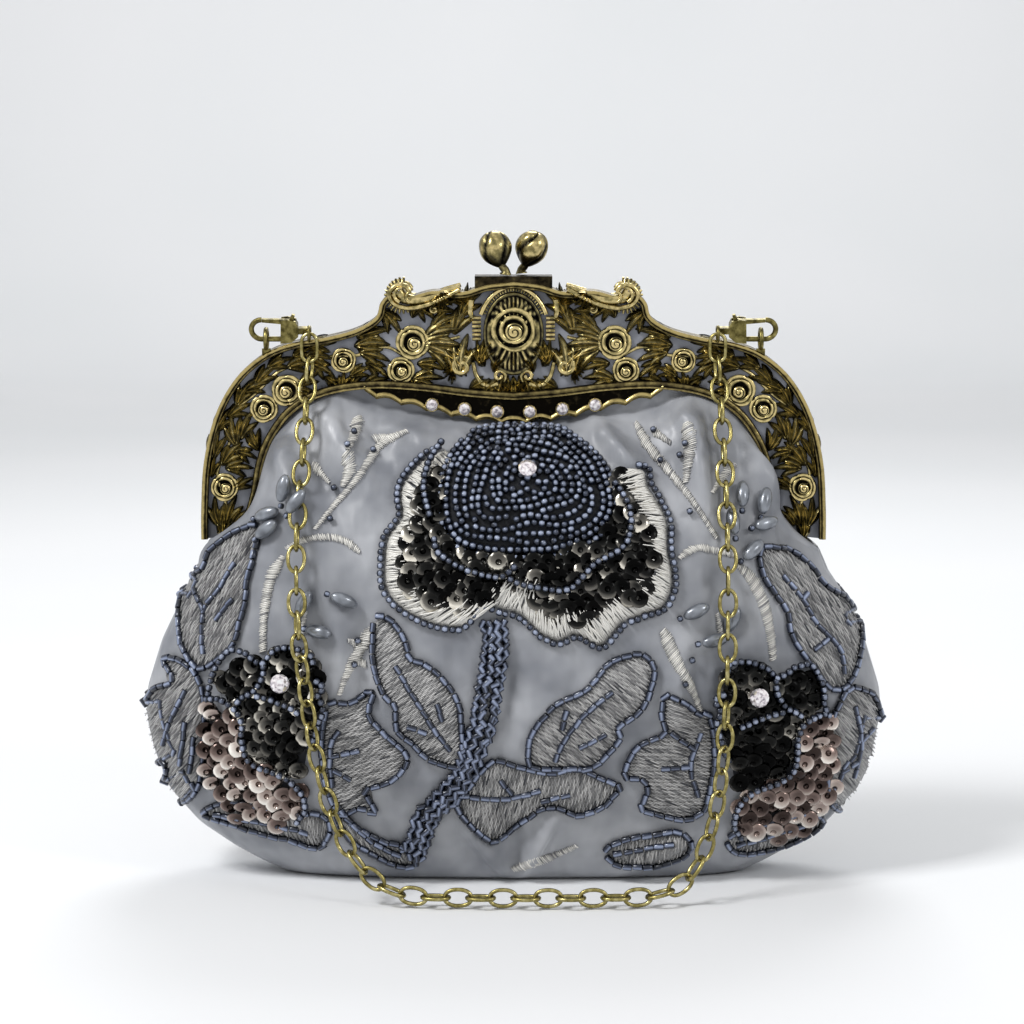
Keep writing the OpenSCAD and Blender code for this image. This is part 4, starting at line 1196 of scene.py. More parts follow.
    def net(self) -> list[list[Vector]]:
        """Rows of points of the smooth front sheet, from the frame down and under the base."""
        turns = self.turns()
        rows = [[self.panel_point(w, 1 - k / self.upper_rows) for w in turns] for k in range(self.upper_rows)]
        for k in range(self.lower_rows + 1):
            z = self.rim_z * (1 - k / self.lower_rows) ** 1.2
            rows.append([self.ring_point(w, z) for w in turns])
        foot = rows[-1]
        for k in range(1, self.base_rows + 1):
            rows.append([Vector((p.x, p.y * (1 - k / self.base_rows), 0)) for p in foot])
        return rows

    def creased(self, rows: list[list[Vector]], mirror: int) -> list[list[Vector]]:
        """The same rows with the folds pressed in.

        Args:
            rows: the smooth sheet.
            mirror: -1 swaps left and right.

        Returns:
            The folded sheet.
        """
        out = []
        last = len(rows) - 1
        for r, row in enumerate(rows):
            line = []
            for c, p in enumerate(row):
                a, b = rows[max(r - 1, 0)][c], rows[min(r + 1, last)][c]
                d, e = row[max(c - 1, 0)], row[min(c + 1, len(row) - 1)]
                n = (e - d).cross(a - b)
                n = n.normalized() if n.length > 1e-6 else Vector((0, -1, 0))
                rim = min(1.0, r / 5) * min(1.0, c / 4, (len(row) - 1 - c) / 4) * min(1.0, p.z / 3)
                move = max(-0.085 * abs(p.y), sum(f.lift(mirror * p.x, p.z) for f in self.folds) * rim)
                line.append(p + n * move)
            out.append(line)
        return out

    def settled(self, obj: Object, pins: list[float]) -> None:
        """Lets the satin buckle under a little fullness and pressure, then applies the result.

        Args:
            obj: the sheet.
            pins: how firmly each point is held, from 0 to 1.
        """
        group = obj.vertex_groups.new(name="held")
        for i, w in enumerate(pins):
            if w > 0:
                group.add([i], w, "REPLACE")
        start = [v.co.copy() for v in obj.data.vertices]
        cloth = obj.modifiers.new("cloth", "CLOTH")
        s = cloth.settings
        s.quality, s.mass, s.air_damping = 6, 0.25, 4
        s.tension_stiffness = s.compression_stiffness = 14
        s.shear_stiffness, s.bending_stiffness = 6, 0.35
        s.shrink_min = s.shrink_max = -0.035
        s.use_pressure, s.uniform_pressure_force = True, 1.4
        s.vertex_group_mass, s.pin_stiffness = "held", 2.0
        s.effector_weights.gravity = 0
        cloth.collision_settings.use_collision = False
        scene = bpy.context.scene
        scene.frame_start, scene.frame_end = 1, 20
        cloth.point_cache.frame_start, cloth.point_cache.frame_end = 1, 20
        for frame_number in range(1, 21):
            scene.frame_set(frame_number)
        shaped = obj.evaluated_get(bpy.context.evaluated_depsgraph_get())
        ends = [v.co.copy() for v in shaped.data.vertices]
        obj.modifiers.remove(cloth)
        scene.frame_set(1)
        cap = 4.2 * MM
        for v, a, b in zip(obj.data.vertices, start, ends):
            move = b - a
            if move.length > cap:
                move *= cap / move.length
            v.co = a + move
            v.co.z = max(v.co.z, min(a.z, 0.0))

    def sheet(self, side: Side) -> Object:
        """Builds one half's satin.

        Args:
            side: which half.

        Returns:
            The satin's object.
        """
        rows = self.creased(self.net(), 1 if side is Side.FRONT else -1)
        shape = Shape()
        shape.grid([row[::-1] for row in rows])
        obj = shape.facing(side).build(f"{side.value}_satin_piece", self.looks.satin, 180)
        wide = self.columns + 1
        pins = []
        for r in range(len(rows)):
            for c in range(wide):
                held = r < 1 or c in (0, wide - 1) or rows[r][wide - 1 - c].z < 1.5
                pins.append(1.0 if held else 0.0)
        self.settled(obj, pins)
        log.info("%s has settled", obj.name)
        self.thickened(obj, 0.7, 1)
        return obj

    def thickened(self, obj: Object, thick: float, levels: int) -> None:
        """Smooths the sheet and gives it its thickness inwards.

        Args:
            obj: the sheet.
            thick: its thickness.
            levels: rounds of smoothing.
        """
        if levels:
            soft = obj.modifiers.new("soft", "SUBSURF")
            soft.levels = soft.render_levels = levels
        wall = obj.modifiers.new("wall", "SOLIDIFY")
        wall.thickness, wall.offset, wall.use_even_offset = thick * MM, -1, False
        flat = flattened(obj)
        obj.modifiers.clear()
        old, obj.data = obj.data, flat
        bpy.data.meshes.remove(old)

    def lining(self, side: Side) -> Object:
        """Builds one half's lining, just inside the satin.

        Args:
            side: which half.

        Returns:
            The lining's object.
        """
        rows = self.net()
        inner = []
        for r, row in enumerate(rows[1:]):
            drop = 1.2 if r < 40 else 0
            inner.append([Vector((p.x * 0.965, p.y * 0.86 + 0.2, max(3.2, p.z - drop))) for p in row])
        shape = Shape()
        shape.grid([row[::-1] for row in inner[:-self.base_rows]])
        obj = shape.facing(side).build(f"{side.value}_lining_piece", self.looks.lining, 180)
        self.thickened(obj, 0.4, 0)
        return obj

    def hang(self, obj: Object, nodes: Sequence[str] = ()) -> None:
        """Sets a piece of cloth or embroidery in place across the hinge, on no body, with its transform
        applied.

        Args:
            obj: the piece.
            nodes: nodes that it stands for.
        """
        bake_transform(obj)
        if nodes:
            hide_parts(*nodes)
        log.info("%s crosses the hinge with %d faces", obj.name, len(obj.data.polygons))


def flattened(obj: Object) -> Mesh:
    """The mesh that an object shows once its modifiers have run."""
    graph = bpy.context.evaluated_depsgraph_get()
    return bpy.data.meshes.new_from_object(obj.evaluated_get(graph), depsgraph=graph)


# Beads, sequins, stitches and stones


class Part(Enum):
    """The small shapes that are set by the hundred."""

    SEED = "seed_bead"
    BUGLE = "bugle_bead"
    SEQUIN = "sequin"
    STITCH = "stitch"
    PEARL = "rice_pearl"
    STONE = "cut_stone"
    LINK = "chain_link"


@dataclass(frozen=True)
class Spot:
    """Where one small shape sits: its middle, the way its length points, the way it faces, and its size."""

    at: Vector
    along: Vector
    out: Vector
    size: Vector
    tone: float = 0.5

    def turn(self) -> tuple[float, float, float]:
        """The shape's turn, as Euler angles."""
        x = self.along.normalized()
        z = (self.out - x * self.out.dot(x)).normalized()
        y = z.cross(x)
        return tuple(Matrix((x, y, z)).transposed().to_euler())


class Setter:
    """A Geometry Nodes tree that sets one small shape on every point of a list."""

    def __init__(self) -> None:
        """Builds the tree and the small shapes."""
        self.tree = bpy.data.node_groups.new("shapes_on_points", "GeometryNodeTree")
        self.tree.is_modifier = True
        self.sockets = {}
        wanted = {"Points": "Geometry", "Shape": "Object", "Scale": "Float", "Finish": "Material"}
        for name, kind in wanted.items():
            made = self.tree.interface.new_socket(name=name, in_out="INPUT", socket_type=f"NodeSocket{kind}")
            self.sockets[name] = made.identifier
        self.tree.interface.new_socket(name="Pieces", in_out="OUTPUT", socket_type="NodeSocketGeometry")
        t = self.tree
        given = add_node(t, "NodeGroupInput").outputs
        shape = add_node(t, "GeometryNodeObjectInfo", inputs={"Object": given["Shape"]})
        turn = add_node(t, "GeometryNodeInputNamedAttribute", {"data_type": "FLOAT_VECTOR"}, {"Name": "turn"})
        size = add_node(t, "GeometryNodeInputNamedAttribute", {"data_type": "FLOAT_VECTOR"}, {"Name": "size"})
        sized = add_node(t, "ShaderNodeVectorMath", {"operation": "SCALE"},
                         {0: size.outputs[0], "Scale": given["Scale"]})
        turned = add_node(t, "FunctionNodeEulerToRotation", inputs={0: turn.outputs[0]})
        dots = add_node(t, "GeometryNodeMeshToPoints", inputs={"Mesh": given["Points"]})
        set_down = add_node(t, "GeometryNodeInstanceOnPoints", inputs={
            "Points": dots.outputs[0], "Instance": shape.outputs["Geometry"],
            "Rotation": turned.outputs[0], "Scale": sized.outputs[0]})
        real = add_node(t, "GeometryNodeRealizeInstances", inputs={0: set_down.outputs[0]})
        dressed = add_node(t, "GeometryNodeSetMaterial",
                           inputs={0: real.outputs[0], "Material": given["Finish"]})
        add_node(t, "NodeGroupOutput", inputs={0: dressed.outputs[0]})
        makers = {Part.SEED: self.seed, Part.BUGLE: self.bugle, Part.SEQUIN: self.sequin,
                  Part.STITCH: self.stitch, Part.PEARL: self.pearl, Part.STONE: self.stone,
                  Part.LINK: self.link}
        self.shapes = {part: make() for part, make in makers.items()}

    def lathe(self, part: Part, profile: Outline, sides: int, angle: float) -> Object:
        """A small turned shape, 1 mm big, round X.

        Args:
            part: which small shape.
            profile: radius and place along X of each ring.
            sides: faces round it.
            angle: edges sharper than this many degrees stay crisp.

        Returns:
            The template object.
        """
        shape = Shape()
        rows, tones = [], []
        for r, h in profile:
            rows.append([(h, r * cos(w), r * sin(w)) for w in circle(sides)])
            # Painted highlight: each ring's tone rises towards +Z, the crown that faces out of the cloth, and
            # the bead finish turns it into a lighter band.
            tones.append([max(0.0, sin(w)) ** 4 * min(1.0, 2.4 * r - 0.25) for w in circle(sides)])
        shape.grid(rows, tones, wrap=True, ends=True)
        return self.kept(shape, part, angle)

    def kept(self, shape: Shape, part: Part, angle: float) -> Object:
        """Builds a small shape as a template.

        Args:
            shape: its mesh.
            part: which small shape.
            angle: sharper edges stay crisp.

        Returns:
            The template.
        """
        blank = bpy.data.materials.get("template") or bpy.data.materials.new("template")
        obj = shape.build(f"template_{part.value}", blank, angle)
        obj.data.materials.clear()
        return obj

    def seed(self) -> Object:
        """A seed bead: a squat round bead with its hole's dimple along X."""
        profile = [(0.14, -0.42), (0.4, -0.36), (0.5, 0), (0.4, 0.36), (0.14, 0.42)]
        return self.lathe(Part.SEED, profile, 10, 120)

    def bugle(self) -> Object:
        """A bugle bead: a short cut glass tube along X."""
        profile = [(0.34, -0.5), (0.46, -0.47), (0.5, -0.4), (0.5, 0.4), (0.46, 0.47), (0.34, 0.5)]
        return self.lathe(Part.BUGLE, profile, 8, 50)

    def sequin(self) -> Object:
        """A cupped sequin facing Z: dark hole, with a painted highlight towards its lower lip and painted
        shade towards its upper one.
        """
        shape = Shape()
        sides = 14
        rows, tones = [], []
        profile = ((0.5, 0.05, 0.55), (0.45, 0.1, 0.62), (0.32, 0.15, 0.4), (0.15, 0.16, 0.3),
                   (0.11, 0.1, 0.0), (0.02, 0.06, 0.0))
        for r, h, shade in profile:
            rows.append([(r * cos(w), r * sin(w), h) for w in circle(sides)])
            # Painted light: the tone rises towards the lower lip as a painted highlight and falls towards the
            # upper lip as painted shade.
            tones.append([max(0.0, shade - 1.15 * r * sin(w + 0.35)) for w in circle(sides)])
        shape.grid(rows, tones, wrap=True)
        return self.kept(shape, Part.SEQUIN, 60)

    def stitch(self) -> Object:
        """A stitch: a flat bundle of filaments along X that dives into the cloth at both ends."""
        shape = Shape()
        steps, sides = 4, 6
        rows = []
        for i in range(steps + 1):
            t = i / steps
            lift = 0.5 * sin(pi * t) ** 0.7
            wide = 0.5 * (0.45 + 0.55 * sin(pi * t) ** 0.5)
            rows.append([(t - 0.5, wide * cos(2 * pi * k / sides),
                          lift + 0.35 * sin(2 * pi * k / sides)) for k in range(sides)])
        shape.grid(rows, wrap=True, ends=True)
        return self.kept(shape, Part.STITCH, 180)

    def pearl(self) -> Object:
        """A rice pearl along X."""
        profile = [(0.5 * sin(pi * i / 10) + 0.02, -0.5 * cos(pi * i / 10)) for i in range(11)]
        return self.lathe(Part.PEARL, profile, 16, 180)

    def stone(self) -> Object:
        """A round brilliant facing Z in a low claw cup."""
        shape = Shape()
        n = 8
        points = []
        rings = ((0.27, 0.36, n, 0), (0.4, 0.28, n, 0.5), (0.5, 0.17, 2 * n, 0), (0.44, -0.1, 2 * n, 0))
        for radius, z, count, offset in rings:
            turns = [2 * pi * (k + offset) / count for k in range(count)]
            points += [(radius * cos(w), radius * sin(w), z) for w in turns]
        faces = [tuple(range(n))]
        for k in range(n):
            j, g = (k + 1) % n, 2 * n
            faces.append((k, n + k, j))
            faces.append((k, 2 * n + 2 * k, n + k))
            faces.append((n + k, 2 * n + (2 * k + 2) % g, j))
            faces.append((n + k, 2 * n + 2 * k, 2 * n + 2 * k + 1))
            faces.append((n + k, 2 * n + 2 * k + 1, 2 * n + (2 * k + 2) % g))
        for k in range(2 * n):
            j = (k + 1) % (2 * n)
            faces.append((2 * n + k, 4 * n + k, 4 * n + j, 2 * n + j))
        faces.append(tuple(4 * n + k for k in reversed(range(2 * n))))
        shape.add(points, faces)
        return self.kept(shape, Part.STONE, 5)

    def link(self) -> Object:
        """An oval link of 9.1 by 6.0 mm, 1.2 mm wire, its length along X and its flat facing Z."""
        shape = Shape()
        line = [Vector((3.95 * copysign(abs(cos(w)) ** 0.86, cos(w)), 2.4 * sin(w), 0)) for w in circle(32)]
        shape.tube(line, 0.6, 8, closed=True, relief_and_painted_light=0.75)
        return self.kept(shape, Part.LINK, 180)

    def set_down(self, name: str, part: Part, spots: Sequence[Spot], finish: Material) -> Object:
        """Sets one shape on every spot.

        Args:
            name: the new piece's name.
            part: which small shape.
            spots: places in millimetres.
            finish: the piece's material.

        Returns:
            One plain mesh object at the origin.
        """
        mesh = bpy.data.meshes.new(name)
        mesh.from_pydata([s.at * MM for s in spots], [], [])
        store(mesh, "turn", [v for s in spots for v in s.turn()], "FLOAT_VECTOR")
        store(mesh, "size", [v for s in spots for v in s.size], "FLOAT_VECTOR")
        store(mesh, "tone", [s.tone for s in spots])
        obj = linked(name, mesh)
        mod = obj.modifiers.new("set_down", "NODES")
        mod.node_group = self.tree
        mod[self.sockets["Shape"]] = self.shapes[part]
        mod[self.sockets["Scale"]] = 1.0
        mod[self.sockets["Finish"]] = finish
        flat = flattened(obj)
        obj.modifiers.clear()
        obj.data = flat
        bpy.data.meshes.remove(mesh)
        flat.name = name
        for old in ("turn", "size"):
            if old in flat.attributes:
                flat.attributes.remove(flat.attributes[old])
        log.info("%s: %d set, %d faces", name, len(spots), len(flat.polygons))
        return obj

    def clear(self) -> None:
        """Removes the templates once everything is set."""
        for obj in self.shapes.values():
            bpy.data.objects.remove(obj)


def mirrored_copy(obj: Object, name: str) -> Object:
    """The same piece on the purse's other side.

    Args:
        obj: the front piece.
        name: name of the new one.

    Returns:
        The rear piece.
    """
    mesh = obj.data.copy()
    mesh.name = name
    mesh.transform(Matrix.Diagonal((1, -1, 1, 1)))
    mesh.flip_normals()
    return linked(name, mesh)


@dataclass(frozen=True)
class View:
    """The photograph's camera: what it looks at, from how far, how high and through which lens."""

    target: tuple = (-0.45, 0.0, 109.0)
    distance: float = 950.0
    elevation: float = 7.0
    lens: float = 111.0
    sensor: float = 36.0
    frame_px: int = 1024

    def eye(self) -> Vector:
        """Where the camera stands."""
        w = radians(self.elevation)
        return Vector(self.target) + self.distance * Vector((0, -cos(w), sin(w)))

    def ray(self, px: float, py: float) -> Vector:
        """Direction through a pixel of the photograph.

        Args:
            px: pixel across.
            py: pixel down.

        Returns:
            The direction, of length 1.
        """
        w = radians(self.elevation)
        per_px = self.sensor / self.lens / self.frame_px
        middle = self.frame_px / 2
        ahead, up = Vector((0, cos(w), -sin(w))), Vector((0, sin(w), cos(w)))
        return (ahead + Vector((1, 0, 0)) * (px - middle) * per_px + up * (middle - py) * per_px).normalized()


class Ground:
    """The settled front satin, on which the embroidery is laid."""

    def __init__(self, obj: Object, view: View) -> None:
        """Indexes the sheet's faces."""
        mesh = obj.data
        points = [v.co / MM for v in mesh.vertices]
        self.tree = BVHTree.FromPolygons(points, [tuple(p.vertices) for p in mesh.polygons])
        self.view = view

    def under(self, px: float, py: float) -> Seat:
        """The satin's point and outward direction seen at a pixel of the photograph.

        Args:
            px: pixel across.
            py: pixel down.

        Returns:
            The point and the direction.
        """
        eye = self.view.eye()
        way = self.view.ray(px, py)
        hit, normal, _, _ = self.tree.ray_cast(eye, way)
        if hit is None:
            near = eye + way * (self.view.distance - 6)
            hit, normal, _, _ = self.tree.find_nearest(near)
            if normal.y > 0:
                normal = -normal
            return hit, normal
        return hit, normal if normal.dot(way) < 0 else -normal


# Embroidery: every outline is drawn in pixels of the photograph's 1024 by 1024 frame


@dataclass(frozen=True)
class Motif:
    """A leaf of the embroidery: its beaded outline, its veins, the lie of its stitches and its padding."""

    outline: tuple[Point, ...]
    veins: tuple[tuple[Point, ...], ...]
    lie: float
    padding: float = 0.9


LEAVES = (
    Motif(((376, 617), (390, 620), (404, 638), (410, 658), (426, 665), (442, 678), (455, 696), (461, 716),
          (462, 743), (464, 764), (448, 765), (426, 756), (413, 743), (397, 729), (395, 707), (384, 694),
          (376, 667), (374, 640)), (((395, 665), (419, 705), (453, 754)), ((437, 703), (442, 720)),
          ((406, 725), (428, 732))), 35),
    Motif(((531, 765), (529, 743), (533, 732), (544, 716), (558, 703), (584, 691), (598, 676), (611, 662),
          (640, 654), (654, 669), (649, 694), (638, 712), (618, 727), (620, 738), (607, 754), (591, 767),
          (560, 768)), (((613, 691), (582, 716), (562, 743), (553, 765)), ((567, 709), (560, 734)),
          ((607, 732), (573, 750))), 140),
    Motif(((457, 805), (470, 785), (482, 770), (497, 760), (522, 767), (553, 772), (575, 767), (598, 776),
          (618, 785), (613, 796), (598, 808), (578, 814), (558, 808), (542, 808), (522, 821), (506, 832),
          (491, 841), (473, 830)), (((459, 794), (504, 797), (546, 787)), ((500, 778), (515, 796)),
          ((540, 800), (575, 792))), 75),
    Motif(((329, 705), (348, 703), (374, 692), (370, 714), (385, 733), (407, 755), (400, 772), (385, 783),
          (366, 790), (376, 811), (359, 807), (342, 813), (328, 790), (322, 750)), (((340, 729), (331, 746),
          (333, 790)), ((331, 755), (366, 748)), ((333, 768), (353, 779))), 20),
    Motif(((710, 717), (697, 713), (683, 703), (668, 696), (662, 713), (666, 730), (654, 738), (639, 745),
          (628, 761), (626, 776), (641, 778), (647, 789), (641, 807), (654, 812), (681, 818), (697, 814),
          (706, 803), (714, 760)), (((700, 730), (690, 765), (700, 800)), ((690, 765), (655, 768)),
          ((694, 748), (672, 730))), 160),
    Motif(((605, 850), (622, 839), (651, 834), (678, 832), (690, 842), (680, 856), (650, 864), (620, 864)),
          (((612, 852), (645, 848), (680, 844)),), 80),
    Motif(((259, 525), (239, 531), (223, 541), (210, 553), (205, 568), (188, 583), (183, 600), (181, 624),
          (185, 649), (200, 668), (215, 662), (233, 646), (239, 629), (246, 603), (248, 583), (254, 563),
          (260, 540)), (((238, 563), (220, 590), (206, 613), (205, 655)), ((236, 600), (218, 622)),
          ((197, 590), (206, 612))), 60),
    Motif(((761, 548), (776, 548), (793, 554), (809, 567), (823, 586), (844, 600), (857, 623), (859, 642),
          (855, 667), (845, 686), (830, 688), (813, 669), (802, 654), (790, 634), (785, 611), (764, 582),
          (759, 562)), (((780, 575), (800, 600), (813, 623), (836, 648), (842, 675)), ((800, 600),
          (808, 590)), ((812, 650), (826, 640))), 120),
    Motif(((166, 659), (175, 681), (157, 689), (147, 704), (143, 714), (148, 739), (155, 759), (168, 764),
          (168, 792), (183, 800), (197, 790), (204, 760), (206, 720), (200, 680), (184, 662)), (((188, 690),
          (172, 722), (166, 744)), ((186, 720), (182, 764)), ((195, 735), (190, 775))), 50),
    Motif(((874, 701), (880, 732), (878, 768), (863, 778), (857, 797), (842, 808), (829, 800), (826, 760),
          (832, 720), (846, 690), (862, 690)), (((852, 705), (858, 740), (850, 780)), ((858, 740),
          (870, 726)), ((855, 760), (838, 772))), 130),
    Motif(((205, 812), (232, 822), (262, 832), (290, 838), (318, 846), (330, 832), (322, 815), (296, 812),
          (262, 806), (230, 800)), (((215, 812), (262, 820), (315, 832)),), 100),
    Motif(((334, 800), (352, 822), (380, 838), (404, 846), (416, 862), (396, 864), (368, 852), (346, 836)),
          (((345, 815), (375, 842), (405, 856)),), 110),
    Motif(((728, 836), (752, 826), (786, 816), (812, 812), (820, 822), (796, 838), (760, 850), (734, 850)),
          (((735, 843), (772, 832), (812, 820)),), 80),
)
# Lines of satin stitch: route and widths at both ends, in pixels
SPRIGS = (
    (((357, 416), (355, 432), (347, 451)), 14, 4), (((408, 431), (392, 438), (378, 448), (356, 480),
    (334, 506), (314, 530)), 9, 4), (((344, 452), (350, 468), (342, 488)), 16, 5), (((372, 440), (398, 436)),
    10, 4), (((312, 463), (322, 474), (331, 484)), 10, 3), (((361, 553), (345, 541), (326, 537), (304, 540),
    (286, 550)), 8, 5), (((284, 555), (271, 578), (264, 616), (263, 653)), 11, 6), (((378, 622), (360, 650),
    (346, 676), (339, 696)), 16, 4), (((356, 644), (346, 640)), 8, 3), (((368, 664), (352, 662)), 9, 3),
    (((635, 422), (648, 446), (668, 470), (692, 500), (717, 539)), 11, 4), (((686, 422), (690, 446),
    (688, 466), (686, 484)), 15, 5), (((652, 430), (672, 444)), 9, 4), (((735, 463), (722, 478), (711, 494)),
    10, 3), (((678, 559), (696, 548), (717, 551), (736, 556)), 8, 5), (((737, 565), (752, 580), (764, 606),
    (770, 634), (773, 661)), 12, 6), (((662, 629), (676, 660), (692, 690), (702, 715)), 15, 4), (((511, 870),
    (530, 864), (552, 856), (578, 845)), 9, 4), (((300, 640), (306, 610)), 7, 3), (((722, 640), (716, 612)),
    7, 3),
)
SPRIG_BEADS = (
    ((346, 446), (352, 434), (336, 488)), ((688, 444), (682, 456), (654, 432)), ((372, 452), (330, 520)),
    ((690, 512), (660, 462)), ((352, 664), (356, 640)), ((684, 684), (690, 660)),
)
ROSE_EDGE = (
    (442, 448), (424, 456), (412, 467), (402, 480), (397, 493), (399, 515), (392, 527), (384, 539),
    (381, 565), (384, 591), (403, 612), (436, 627), (464, 628), (481, 608), (500, 612), (520, 618),
    (540, 636), (559, 644), (577, 637), (601, 648), (616, 634), (624, 625), (642, 617), (664, 609),
    (674, 591), (675, 572), (671, 552), (670, 521), (659, 498), (651, 485), (646, 469), (632, 466),
)
ROSE_DOME = (
    (470, 436), (500, 429), (530, 429), (560, 431), (584, 446), (602, 462), (612, 484), (616, 510),
    (607, 530), (584, 546), (556, 556), (522, 558), (484, 556), (454, 546), (442, 524), (440, 496),
    (446, 466),
)
DOME_EYE = (528, 482)
PETAL_EDGES = (
    ((434, 539), (440, 556), (468, 571), (499, 577), (516, 566)), ((507, 578), (533, 586), (568, 588),
    (594, 565), (624, 547), (630, 520), (622, 498), (611, 484)), ((442, 448), (428, 470), (424, 496),
    (432, 524)),
)
STEM = (
    (493, 618), (495, 645), (491, 674), (486, 698), (482, 725), (473, 752), (462, 779), (446, 796),
    (428, 814), (419, 837), (411, 856),
)
# The left side flower; the right one is its mirror
DARK_SEQUINS = (
    (222, 672), (240, 656), (262, 660), (276, 652), (300, 650), (316, 664), (322, 686), (320, 712),
    (310, 740), (304, 776), (286, 770), (260, 758), (248, 736), (242, 708), (224, 696),
)
PALE_SEQUINS = (
    (206, 704), (234, 708), (246, 734), (256, 762), (284, 774), (304, 792), (306, 810), (284, 824),
    (250, 822), (222, 806), (206, 780), (202, 740),
)
SIDE_GEM = (283, 682)
FLOWER_LINES = (
    ((235, 649), (227, 657), (219, 672), (217, 685), (213, 696), (227, 699), (239, 706), (245, 717),
    (246, 735), (249, 750), (257, 760), (272, 766), (286, 772), (298, 781), (306, 793), (307, 808),
    (298, 820)), ((235, 649), (248, 652), (258, 659), (267, 662), (276, 651), (288, 647), (303, 649),
    (314, 654), (317, 664)), ((267, 662), (266, 677), (258, 690), (248, 695), (240, 702)), ((258, 694),
    (276, 699), (294, 706), (306, 712)), ((316, 678), (327, 685), (321, 694), (325, 706), (321, 719),
    (318, 730), (312, 744)),
)
PEARLS = (
    (271, 515, 10), (271, 531, 25), (342, 601, -20), (322, 631, -6), (306, 603, 60), (288, 489, 80),
    (298, 502, 55), (742, 497, 88), (761, 502, 70), (762, 525, 20), (732, 524, 95), (750, 551, 40),
    (695, 611, 24), (735, 619, 60), (712, 640, 10),
)


def flower_place(points: Outline, mirrored: bool) -> list[Point]:
    """Pixels of the left side flower, or of its mirror image, which lies 14 pixels lower."""
    return [(1039 - x, y + 14) if mirrored else (x, y) for x, y in points]


